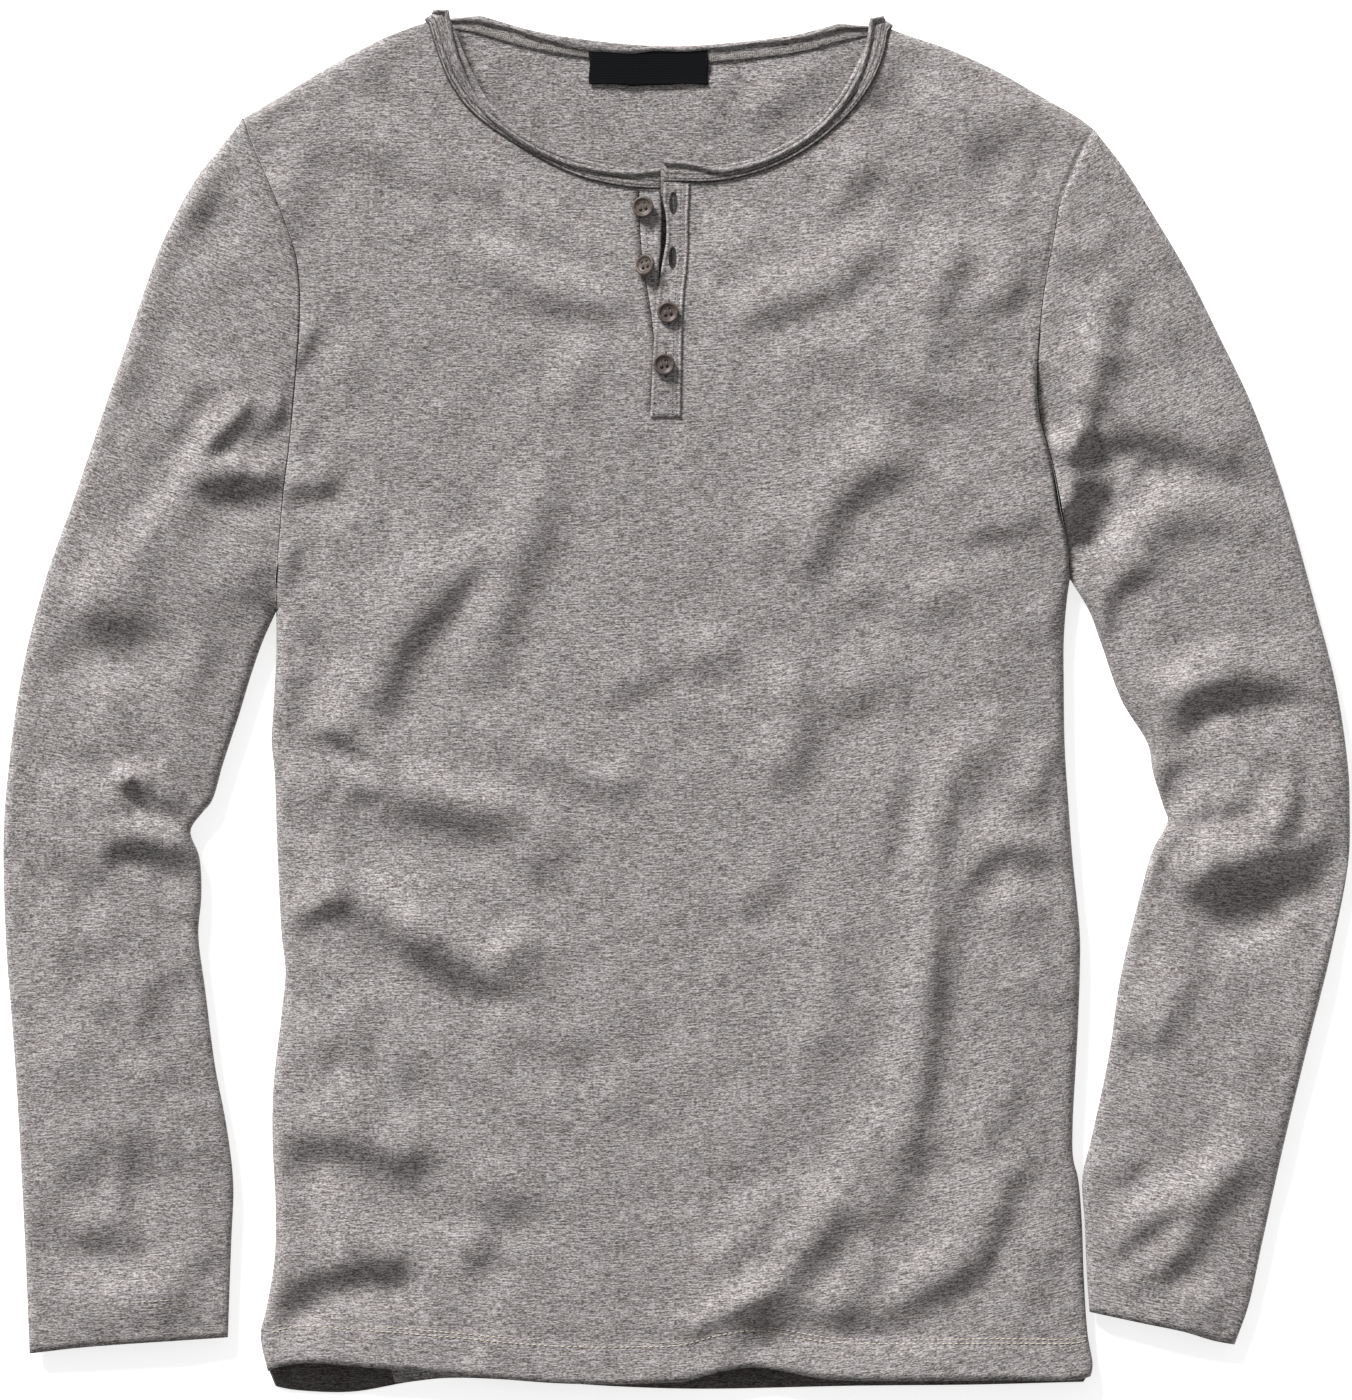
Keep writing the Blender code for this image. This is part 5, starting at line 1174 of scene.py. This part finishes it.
# width of the roll along the back of the neck: x, width
ROLL_WIDTH = [(-101.0, 3.4), (-85.0, 3.0), (-60.0, 5.4), (-25.0, 5.0), (-8.0, 3.2),
              (30.0, 2.8), (60.0, 3.0), (84.0, 3.4)]
left_front = front_sections(BAND_SEAM_LEFT, BAND_LIP_LEFT, BAND_FRONT_COUNT)
right_front = front_sections(BAND_SEAM_RIGHT, BAND_LIP_RIGHT, BAND_FRONT_COUNT)
back_line = evenly(BACK_TOP, BAND_BACK_COUNT)
back_sections = []
for k, point in enumerate(back_line):
    ahead = back_line[min(k + 1, len(back_line) - 1)] - back_line[max(k - 1, 0)]
    normal = unit(np.array([-ahead[1], ahead[0]]))
    wave = 0.35 * math.sin(point[0] / 9.0) + 0.25 * math.sin(point[0] / 4.1 + 1.0)
    roll = float(soft_table(ROLL_WIDTH, point[0], 1)) + wave
    back_sections.append(back_section(point - normal * BACK_FLAT, normal, roll))


def fold_sections(front_end, back_start, side):
    """The band turns from the front to the back over the shoulder seam."""
    direction = unit(front_end[FLAT_POINTS - 1][:2] - front_end[0][:2])
    sideways = np.array([direction[1], -direction[0]])
    sideways = sideways if sideways[0] * side > 0 else -sideways
    foot = front_end[0]
    fold = 0.5 * (foot[2] + 0.4)
    front_across, front_lift = front_profile(9.0)
    back_across, back_lift = back_profile(3.2)
    keys = [front_end]
    for k in range(1, 5):
        turn = math.pi * k / 4.0
        blend = float(ease((k / 4.0 - 0.25) / 0.75)) * 0.6
        across = front_across + (back_across - front_across) * blend
        lift = front_lift + (back_lift - front_lift) * blend
        out = np.array([*(sideways * math.sin(turn)), math.cos(turn)])
        centre = np.array([foot[0], foot[1], fold])
        keys.append(centre + out * (fold + lift[:, None])
                    + across[:, None] * np.array([*direction, 0.0]))
    keys.append(back_start)
    keys = np.array(keys)
    smooth = smooth_line(keys.reshape(len(keys), -1), 9)
    smooth = smooth.reshape(-1, keys.shape[1], 3)[1:-1]
    smooth[..., 2] = np.maximum(smooth[..., 2], 0.0)
    return list(smooth)


sections = (left_front + fold_sections(left_front[-1], back_sections[0], -1.0) + back_sections
            + fold_sections(right_front[-1], back_sections[-1], 1.0)[::-1] + right_front[::-1])
band = np.array(sections)
run = lengths_of(band[:, 6])
step = np.linalg.norm(np.diff(band, axis=1), axis=2)
rise = np.concatenate([np.zeros((len(band), 1)), np.cumsum(step, axis=1)], axis=1)
uv = np.dstack([np.repeat(run[:, None], band.shape[1], axis=1), rise])
neckband_piece = make_piece("neckband_cloth", band.reshape(-1, 3),
                            grid_faces(band.shape[0], band.shape[1]), uv.reshape(-1, 2),
                            BAND_CLOTH, neck_seam_shade_look, "neckband")

# ---- plackets --------------------------------------------------------------
PLACKET_LIFT = 1.2       # upper placket's face above the front's face
PLACKET_FOOT = 148.4
UNDER_FOOT = 152.0
UNDER_TOP = 268.9
UNDER_TUCK = 2.2         # the under placket starts this far behind the notch's edge
UNDER_ROWS = 110
UNDER_COLUMNS = 24
TOP_ROWS = 200
HALF = 14                # faces across the upper placket on each side of the holes
# ---- buttonholes: middle x, middle y, half width, half length ---------------
BUTTONHOLES = [(-1.7, 262.3, 2.0, 5.4), (-2.1, 233.2, 1.9, 5.4), (-4.0, 204.0, 0.12, 6.6),
               (-5.6, 176.5, 0.12, 6.6)]


notch_edge = smooth_line(NOTCH_LEFT)
under_y = np.linspace(UNDER_FOOT, UNDER_TOP, UNDER_ROWS)
under_x = np.interp(under_y, notch_edge[:, 1], notch_edge[:, 0]) - UNDER_TUCK
under_seam = np.column_stack([under_x, under_y])
under_free = evenly(PLACKET_UNDER_FREE, UNDER_ROWS)
part = np.linspace(0.0, 1.0, UNDER_COLUMNS)[None, :, None]
flat = under_seam[:, None] + (under_free - under_seam)[:, None] * part
from_seam = np.linalg.norm(flat - under_seam[:, None], axis=2)
from_free = np.linalg.norm(flat - under_free[:, None], axis=2)
z = front_top(flat[..., 0], flat[..., 1]) - 1.2 * (1.0 - ease((from_seam - 1.8) / 1.6))
z = z + 0.35 * ridge(from_free - 2.2, 1.2) - 0.7 * (1.0 - rounding(from_free, 1.2))
placket_under_piece = make_piece("placket_under_cloth", np.dstack([flat, z]).reshape(-1, 3),
                                 grid_faces(UNDER_ROWS, UNDER_COLUMNS), flat.reshape(-1, 2),
                                 BAND_CLOTH, band_look, "placket_under")


def hole_line(y):
    """The line of the buttonholes down the upper placket, and their half width."""
    rows = np.array(BUTTONHOLES)[::-1]
    line = np.interp(y, rows[:, 1], rows[:, 0])
    wide = np.zeros_like(y)
    for _, centre, half_wide, half_long in BUTTONHOLES:
        reach = np.clip(1.0 - ((y - centre) / half_long) ** 2, 0.0, None)
        wide = wide + half_wide * np.sqrt(reach)
    return line, wide


top_free = evenly(PLACKET_TOP_FREE, TOP_ROWS)
top_seam = evenly(PLACKET_TOP_SEAM, TOP_ROWS)


def placket_height(flat, free, seam):
    """Height of the upper placket: curled free edge, corded seam edge."""
    x = flat[..., 0]
    y = flat[..., 1]
    from_free = np.linalg.norm(flat - free[:, None], axis=2)
    from_seam = np.linalg.norm(flat - seam[:, None], axis=2)
    width = np.linalg.norm(seam - free, axis=1)[:, None]
    z = front_top(x, y) + PLACKET_LIFT
    z = z + 1.5 * np.clip(1.0 - from_free / width, 0.0, 1.0) ** 2 * ease((y - 205.0) / 30.0)
    z = z + 0.45 * ridge(from_free - 1.2, 0.9) - 0.9 * (1.0 - rounding(from_free, 0.9))
    z = z + 0.40 * ridge(from_seam - 1.0, 0.6) - 0.9 * (1.0 - rounding(from_seam, 0.9))
    z = z - 0.3 * ridge(from_seam - 2.4, 0.7)
    z = z - 0.9 * (1.0 - rounding(y - PLACKET_FOOT, 0.9))
    hole_x, hole_wide = hole_line(y)
    return z - 0.35 * ridge(x - hole_x, 2.2) * np.minimum(hole_wide, 1.5)


hole_x, hole_wide = hole_line(top_free[:, 1])
left_edge = np.column_stack([hole_x - hole_wide, top_free[:, 1]])
right_edge = np.column_stack([hole_x + hole_wide, top_free[:, 1]])
half = np.linspace(0.0, 1.0, HALF + 1)[None, :, None]
left_part = top_free[:, None] + (left_edge - top_free)[:, None] * half
right_part = right_edge[:, None] + (top_seam - right_edge)[:, None] * half
pieces_flat = np.concatenate([left_part, right_part], axis=1)
z = placket_height(pieces_flat, top_free, top_seam)
columns = pieces_flat.shape[1]
open_row = hole_wide > 0.02


def corner(j, i):
    """Index of a point; beside a shut stretch both edges of the hole line are one point."""
    if i == HALF + 1 and not open_row[j]:
        i = HALF
    return j * columns + i


points = np.dstack([pieces_flat, z]).reshape(-1, 3)
faces = []
for j in range(TOP_ROWS - 1):
    for i in range(columns - 1):
        if i != HALF:
            faces.append((corner(j, i), corner(j, i + 1), corner(j + 1, i + 1), corner(j + 1, i)))
points, uv, faces = used_only(points, pieces_flat.reshape(-1, 2), faces)
placket_top_piece = make_piece("placket_top_cloth", points, faces, uv, BAND_CLOTH, band_look,
                               "placket_top")

# ---- label -----------------------------------------------------------------
LABEL_CLOTH = 0.6
LABEL_ROWS = 26
LABEL_COLUMNS = 70
low, high = (np.array(corner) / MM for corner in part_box("label"))
label_x = np.linspace(low[0], high[0], LABEL_COLUMNS)
label_y = np.linspace(low[1], high[1] + 0.6, LABEL_ROWS)
x, y = np.meshgrid(label_x, label_y)
down = 1.0 - (y - low[1]) / (high[1] - low[1])
x = x + 0.25 * np.sin(y / 2.3)
y = y + (0.45 * np.sin(x / 7.5 + 1.0) + 0.2 * np.sin(x / 3.1)) * down
z = 2.75 + 0.35 * np.sin(x / 9.0) * down + 0.25 * down
z = z + 0.25 * ridge(y - label_y[0] - 0.8, 0.7)
label_piece = make_piece("label_tape", np.dstack([x, y, z]).reshape(-1, 3),
                         grid_faces(LABEL_ROWS, LABEL_COLUMNS),
                         np.dstack([x, y]).reshape(-1, 2), LABEL_CLOTH, label_look,
                         "label")


# ---- buttons ---------------------------------------------------------------
# name, x, y, tilt in degrees, direction of the low side in degrees, piece below
BUTTONS = [("button_1", -17.6, 260.0, 12.0, 140.0, "under"),
           ("button_2", -15.9, 229.0, 34.0, 160.0, "under"),
           ("button_3", -4.5, 204.0, 3.0, 130.0, "top"),
           ("button_4", -6.6, 176.5, 3.0, 130.0, "top")]
# radius and height, as shares of the button's own
BUTTON_SHAPE = [(0.30, 0.02), (0.62, 0.0), (0.84, 0.06), (0.95, 0.22), (0.99, 0.42), (1.0, 0.62),
                (0.985, 0.78), (0.955, 0.90), (0.91, 0.975), (0.86, 1.0), (0.81, 0.985),
                (0.765, 0.93), (0.72, 0.82), (0.67, 0.70), (0.60, 0.62), (0.48, 0.58),
                (0.34, 0.57)]
HOLE_R = 0.92          # radius of a thread hole
HOLE_OUT = 1.45        # its distance from the middle, along both axes
BUTTON_SIDES = 64
THREAD_R = 0.13
SHANK_R = 1.3


def ring_of(work, centre, first, second, sides):
    """Corners of a ring round a centre, in the plane of two vectors."""
    turns = [2.0 * math.pi * k / sides for k in range(sides)]
    return [work.verts.new(centre + math.cos(a) * first + math.sin(a) * second) for a in turns]


def skin(work, rings):
    """Faces between rings of corners, with both ends closed."""
    for lower, upper in zip(rings, rings[1:]):
        for k in range(len(lower)):
            after = (k + 1) % len(lower)
            work.faces.new((lower[k], lower[after], upper[after], upper[k]))
    work.faces.new(rings[0][::-1])
    work.faces.new(rings[-1])


def button_body(name, place):
    """The button, with four holes cut through it."""
    shape = bmesh.new()
    rings = []
    for radius, level in BUTTON_SHAPE:
        reach = BUTTON_R * radius * MM
        rings.append(ring_of(shape, Vector((0.0, 0.0, BUTTON_T * level * MM)),
                             Vector((reach, 0.0, 0.0)), Vector((0.0, reach, 0.0)), BUTTON_SIDES))
    skin(shape, rings)
    pins = bmesh.new()
    for sx, sy in ((1, 1), (1, -1), (-1, -1), (-1, 1)):
        spot = Matrix.Translation((sx * HOLE_OUT * MM, sy * HOLE_OUT * MM, 0.0))
        bmesh.ops.create_cone(pins, cap_ends=True, segments=20, radius1=HOLE_R * MM,
                              radius2=HOLE_R * MM, depth=4.0 * BUTTON_T * MM, matrix=spot)
    made = []
    for part_name, work in ((name + "_horn", shape), (name + "_pins", pins)):
        mesh = bpy.data.meshes.new(part_name)
        work.to_mesh(mesh)
        work.free()
        made.append(added(part_name, mesh))
    body, cutter = made
    cut = body.modifiers.new("thread_holes", "BOOLEAN")
    cut.operation = "DIFFERENCE"
    cut.solver = "EXACT"
    cut.object = cutter
    body.data = bpy.data.meshes.new_from_object(
        body.evaluated_get(bpy.context.evaluated_depsgraph_get()))
    body.modifiers.clear()
    bpy.data.objects.remove(cutter, do_unlink=True)
    body.data.materials.clear()
    body.data.materials.append(horn_look)
    body.data.shade_smooth()
    body.data.set_sharp_from_angle(angle=math.radians(50.0))
    body.matrix_world = place
    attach(body, "root")
    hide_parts(name)


def tube_mesh(work, points, radius, sides):
    """Round tube along points, with closed ends, added to a bmesh."""
    points = [Vector(p) for p in points]
    rings = []
    for k, point in enumerate(points):
        ahead = (points[min(k + 1, len(points) - 1)] - points[max(k - 1, 0)]).normalized()
        side = ahead.orthogonal().normalized()
        if rings and side.dot(last_side) < 0.999:
            side = (last_side - ahead * last_side.dot(ahead)).normalized()
        last_side = side
        rings.append(ring_of(work, point, radius * side, radius * ahead.cross(side), sides))
    skin(work, rings)


def button_thread(name, place):
    """Thread through the four holes, and the wound shank below the button."""
    work = bmesh.new()
    top = 0.60 * BUTTON_T
    for sx in (-1, 1):
        for shift in (-0.24, 0.0, 0.24):
            arc = []
            for k in range(9):
                t = k / 8.0
                arc.append(((sx * HOLE_OUT + shift) * MM, HOLE_OUT * (2.0 * t - 1.0) * MM,
                            (top + 0.40 * math.sin(math.pi * t) - 0.45 * (2 * t - 1) ** 8) * MM))
            tube_mesh(work, arc, THREAD_R * MM, 6)
    shank = [(0.0, 0.0, level * MM) for level in (-0.1, -0.9, -1.9)]
    tube_mesh(work, shank, SHANK_R * MM, 14)
    mesh = bpy.data.meshes.new(name + "_thread")
    work.to_mesh(mesh)
    work.free()
    mesh.materials.append(button_thread_look)
    mesh.shade_smooth()
    obj = added(name + "_thread", mesh)
    obj.matrix_world = place
    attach(obj, "root")


for name, bx, by, tilt, low_side, below in BUTTONS:
    rest = float(front_top(np.array([bx]), np.array([by]))[0])
    if below == "top":
        rest += PLACKET_LIFT
    a = math.radians(low_side)
    axis = Vector((-math.sin(a), math.cos(a), 0.0))
    lift = 0.8 + BUTTON_R * math.sin(math.radians(tilt)) * 0.9
    place = (Matrix.Translation((bx * MM, by * MM, (rest + lift) * MM))
             @ Matrix.Rotation(math.radians(tilt), 4, axis)
             @ Matrix.Rotation(math.radians(12.0), 4, "Z"))
    button_body(name, place)
    button_thread(name, place)


# ---- stitches --------------------------------------------------------------
STITCH_SIDES = 6
# radius of each kind of thread
THREAD = {"hem": 0.30, "back hem": 0.20, "cuff": 0.24, "neckband": 0.24, "neck row": 0.20,
          "ladder": 0.17, "placket": 0.22, "buttonhole": 0.22, "label": 0.16}
# place along a stitch from its middle, and width, as shares of its own
STITCH_RINGS = [(-1.0, 0.25), (-0.72, 0.85), (0.0, 1.0), (0.72, 0.85), (1.0, 0.25)]


def stitches_piece(name, ends, radius, material):
    """Short threads, each from one point to another, joined as one mesh."""
    starts = np.array([pair[0] for pair in ends], dtype=float)
    stops = np.array([pair[1] for pair in ends], dtype=float)
    centre = 0.5 * (starts + stops)
    along = 0.5 * (stops - starts)
    reach = np.linalg.norm(along, axis=1)[:, None]
    ahead = along / reach
    up = np.array([0.0, 0.0, 1.0]) - ahead * ahead[:, 2:3]
    up = up / np.linalg.norm(up, axis=1)[:, None]
    side = np.cross(ahead, up)
    rings = []
    for place, wide in STITCH_RINGS:
        sink = -0.9 * radius * abs(place) ** 3
        for n in range(STITCH_SIDES):
            a = 2.0 * math.pi * n / STITCH_SIDES
            rings.append(centre + along * place + up * sink
                         + radius * wide * (math.cos(a) * side + 0.8 * math.sin(a) * up))
    points = np.stack(rings, axis=1).reshape(-1, 3)
    block = len(STITCH_RINGS) * STITCH_SIDES
    pattern = [tuple(range(STITCH_SIDES))[::-1],
               tuple(range(block - STITCH_SIDES, block))]
    for r in range(len(STITCH_RINGS) - 1):
        for n in range(STITCH_SIDES):
            a = r * STITCH_SIDES + n
            b = r * STITCH_SIDES + (n + 1) % STITCH_SIDES
            pattern.append((a, b, b + STITCH_SIDES, a + STITCH_SIDES))
    faces = [tuple(k + block * s for k in face) for s in range(len(starts)) for face in pattern]
    mesh = bpy.data.meshes.new(name)
    mesh.from_pydata([tuple(p) for p in points * MM], [], faces)
    mesh.materials.append(material)
    mesh.shade_smooth()
    obj = added(name, mesh)
    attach(obj, "root")
    return obj


def row_along(line, stitch, gap, wander=0.0):
    """Stitches along a line in space."""
    run = lengths_of(line)
    count = int(run[-1] / (stitch + gap))
    starts = (np.arange(count) + 0.5) * run[-1] / count - 0.5 * stitch
    first = np.stack([np.interp(starts, run, line[:, k]) for k in range(3)], axis=1)
    second = np.stack([np.interp(starts + stitch, run, line[:, k]) for k in range(3)], axis=1)
    shake = wander * np.sin(np.arange(count) * 2.399)
    first[:, 1] += shake
    second[:, 1] -= shake
    return list(zip(first, second))


def hem_line(edge, up, height_at, inset):
    """Line so far above a hem's edge, on the cloth."""
    flat = edge + np.array([0.0, up])
    flat = flat[(flat[:, 0] > flat[0, 0] + inset) & (flat[:, 0] < flat[-1, 0] - inset)]
    return np.column_stack([flat, height_at(flat[:, 0], flat[:, 1]) + 0.12])


STITCH = 2.4           # hem and cuffs
STITCH_GAP = 0.7
FINE_STITCH = 1.5      # neckband and plackets
FINE_GAP = 0.8
hem_rows = []
front_hem_edge = evenly(FRONT_HEM, 400)
back_hem_edge = evenly(BACK_HEM, 400)
for up in HEM_ROWS:
    hem_rows += row_along(hem_line(front_hem_edge, up, front_top, 1.5), STITCH, STITCH_GAP, 0.05)
hem_stitches = stitches_piece("hem_stitches", hem_rows, THREAD["hem"], hem_thread_look)
under_rows = []
for up in HEM_ROWS:
    line = hem_line(back_hem_edge, up, lambda x, y: np.zeros_like(x), 14.0)
    under_rows += row_along(line, STITCH, STITCH_GAP, 0.05)
back_hem_stitches = stitches_piece("hem_stitches_under", under_rows, THREAD["back hem"],
                                   thread_look)


def cuff_rows(name, edge, folds):
    """Two rows of stitches round a cuff, on its upper and lower faces."""
    rows = []
    line = evenly(edge, 160)
    ahead = np.gradient(line, axis=0)
    ahead = ahead / np.linalg.norm(ahead, axis=1)[:, None]
    inward = np.stack([-ahead[:, 1], ahead[:, 0]], axis=1)
    if inward[:, 1].mean() < 0.0:
        inward = -inward
    for up in HEM_ROWS:
        flat = line + inward * up
        flat = flat + (flat - flat.mean(axis=0)) * 0.012
        flat = flat[3:-3]
        z = top_height(flat[:, 0], flat[:, 1], name, True, folds)[0] - 0.12
        rows += row_along(np.column_stack([flat, z]), STITCH, STITCH_GAP, 0.05)
        lower = flat[14:-14]
        rows += row_along(np.column_stack([lower, np.full(len(lower), 0.12)]), STITCH,
                          STITCH_GAP, 0.05)
    return rows


cuff_stitches = stitches_piece("cuff_stitches",
                               cuff_rows("left", CUFF_LEFT, LEFT_FOLDS)
                               + cuff_rows("right", CUFF_RIGHT, RIGHT_FOLDS),
                               THREAD["cuff"], hem_thread_look)


def on_band(position, sections_of_band, lift=0.05):
    """Line along the band at a given distance from its seam, front part."""
    line = []
    for section in sections_of_band:
        run = lengths_of(section[:, :2][:FLAT_POINTS])
        line.append([np.interp(position, run, section[:FLAT_POINTS, k]) for k in range(3)])
    line = np.array(line)
    line[:, 2] += lift
    return line


band_rows = []
for part_sections in (left_front, right_front):
    for position in (2.2, 4.7):
        band_rows += row_along(on_band(position, part_sections), FINE_STITCH, 0.9)
stitches_piece("neckband_stitches", band_rows, THREAD["neckband"], thread_look)

# ladder of stitches on the inside of the band at the back of the neck
inner_rows = []
for section in back_sections:
    tail = section[-9:]
    run = lengths_of(tail[:, :2])
    inner_rows.append([np.interp(run[-1] - 0.45, run, tail[:, c]) for c in range(3)])
inner_line = np.array(inner_rows)
inner_line[:, 2] += 0.08
fine = smooth_line(inner_line, 4)
stitches_piece("neck_row_stitches", row_along(fine, FINE_STITCH, 0.85), THREAD["neck row"],
               thread_look)
RUNG_STEP = 1.15
rungs = []
fine_run = lengths_of(fine)
for at in np.arange(1.0, fine_run[-1] - 1.0, RUNG_STEP):
    low = np.array([np.interp(at, fine_run, fine[:, c]) for c in range(3)])
    ahead = np.array([np.interp(at + 0.5, fine_run, fine[:, c]) for c in range(3)]) - low
    normal = unit(np.array([-ahead[1], ahead[0]]))
    lean = 0.35 * math.sin(at * 1.7)
    high = low + np.array([normal[0] * 3.1 + lean, normal[1] * 3.1, 0.30])
    low = low + np.array([normal[0] * 0.5, normal[1] * 0.5, 0.12])
    rungs.append((low, high))
stitches_piece("neck_ladder_stitches", rungs, THREAD["ladder"], pale_thread_look)

# plackets: rows down both, the cross rows at the foot, and the buttonholes
placket_rows = []


def placket_line(inset, low_y, high_y):
    """Line down the upper placket, so far from its seam edge."""
    keep = (top_seam[:, 1] > low_y) & (top_seam[:, 1] < high_y)
    ahead = unit(top_seam[-1] - top_seam[0])
    flat = top_seam - np.array([ahead[1], -ahead[0]]) * inset
    z = placket_height(flat[:, None], top_free, top_seam)[:, 0] + 0.05
    return np.column_stack([flat, z])[keep]


for inset in (2.3, 4.6):
    line = placket_line(inset, PLACKET_FOOT + 1.5, 268.0)
    placket_rows += row_along(line, FINE_STITCH, FINE_GAP)
under_line = np.column_stack([notch_edge[:, 0] + 3.6, notch_edge[:, 1]])
under_line = under_line[(under_line[:, 1] > 196.0) & (under_line[:, 1] < 268.0)]
under_line = np.column_stack([under_line, front_top(under_line[:, 0], under_line[:, 1]) + 0.05])
placket_rows += row_along(under_line, FINE_STITCH, FINE_GAP)
edge_line = under_line - np.array([4.6, 0.0, 0.0])
edge_line[:, 2] = front_top(edge_line[:, 0], edge_line[:, 1]) + 0.05
placket_rows += row_along(edge_line, FINE_STITCH, FINE_GAP)
for up in (1.6, 7.8):
    cross_y = PLACKET_FOOT + up
    cross_x = np.linspace(np.interp(cross_y, top_free[:, 1], top_free[:, 0]) + 0.8,
                          np.interp(cross_y, top_seam[:, 1], top_seam[:, 0]) - 1.2, 30)
    cross = np.column_stack([cross_x, np.full(30, cross_y)])
    rows_here = np.full(30, int(np.argmin(np.abs(top_free[:, 1] - cross_y))))
    z = placket_height(cross[:, None], top_free[rows_here], top_seam[rows_here])[:, 0] + 0.05
    placket_rows += row_along(np.column_stack([cross, z]), FINE_STITCH, FINE_GAP)
stitches_piece("placket_stitches", placket_rows, THREAD["placket"], thread_look)

# the buttonhole stitches reach nearly to each hole's middle line, so their near-black thread fills
# the opening: thread round the edge, and painted shade in the hole
HOLE_STITCHES = 46
hole_threads_and_shade = []
for cx, cy, half_wide, half_long in BUTTONHOLES:
    for k in range(HOLE_STITCHES):
        a = 2.0 * math.pi * k / HOLE_STITCHES
        inner_point = np.array([cx + max(half_wide - 1.6, 0.02) * math.cos(a),
                                cy + (half_long - 0.9) * math.sin(a)])
        outer_point = np.array([cx + (half_wide + 0.55) * math.cos(a),
                                cy + (half_long + 0.7) * math.sin(a)])
        pair = []
        for spot in (inner_point, outer_point):
            row = int(np.argmin(np.abs(top_free[:, 1] - spot[1])))
            height = placket_height(spot[None, None], top_free[row:row + 1],
                                    top_seam[row:row + 1])[0, 0]
            pair.append(np.array([spot[0], spot[1], height + 0.1]))
        hole_threads_and_shade.append(tuple(pair))
stitches_piece("buttonhole_stitches_and_shade", hole_threads_and_shade, THREAD["buttonhole"], hole_thread_and_shade_look)

label_threads = []
for side_x in (label_x[0] + 0.9, label_x[-1] - 0.9):
    ends = [(side_x, label_y[0] + 1.5, 2.95), (side_x, label_y[-1] - 2.0, 2.95)]
    label_threads += row_along(points_at(np.array(ends), np.linspace(0.0, 1.0, 20)), 1.4, 1.0)
stitches_piece("label_stitches", label_threads, THREAD["label"], label_thread_look)

# ---- floor, light, camera --------------------------------------------------
# from here on in metres
FLOOR_HALF = 6.0
FLOOR_Z = -0.0004
floor_corners = [(side_x * FLOOR_HALF, side_y * FLOOR_HALF, FLOOR_Z)
                 for side_x, side_y in ((-1, -1), (1, -1), (1, 1), (-1, 1))]
floor_mesh = bpy.data.meshes.new("floor")
floor_mesh.from_pydata(floor_corners, [], [(0, 1, 2, 3)])
floor = added("floor", floor_mesh)
floor_look, _, floor_shader = blank("floor", (0.93, 0.93, 0.93), 0.9, 0.1)
floor_shader.inputs["Emission Color"].default_value = (1.0, 1.0, 1.0, 1.0)
floor_shader.inputs["Emission Strength"].default_value = 0.62
floor_mesh.materials.append(floor_look)

SUN_FROM = Vector((-0.463, 0.770, 0.438))    # low, from beyond the left shoulder
SUN_POWER = 6.66
SKY_POWER = 0.36
sun_data = bpy.data.lights.new("key", "SUN")
sun_data.energy = SUN_POWER
sun_data.angle = math.radians(18.0)
sun = added("key", sun_data)
sun.rotation_euler = SUN_FROM.to_track_quat("Z", "Y").to_euler()
world = bpy.data.worlds.new("studio")
world.use_nodes = True
sky = world.node_tree.nodes["Background"]
sky.inputs["Color"].default_value = (1.0, 1.0, 1.0, 1.0)
sky.inputs["Strength"].default_value = SKY_POWER
bpy.context.scene.world = world
bpy.context.scene.view_settings.view_transform = "Standard"
bpy.context.scene.view_settings.look = "None"
bpy.context.scene.view_settings.exposure = 0.0

# straight above and far off, with the lens that fits the whole shirt as the photo does
CAMERA_Z = 5.01
LENS = 242.6
camera_data = bpy.data.cameras.new("camera")
camera_data.lens = LENS
camera_data.sensor_width = 36.0
camera_data.clip_end = 50.0
camera = added("camera", camera_data)
camera.location = (-0.0003, -0.0011, CAMERA_Z)
bpy.context.scene.camera = camera
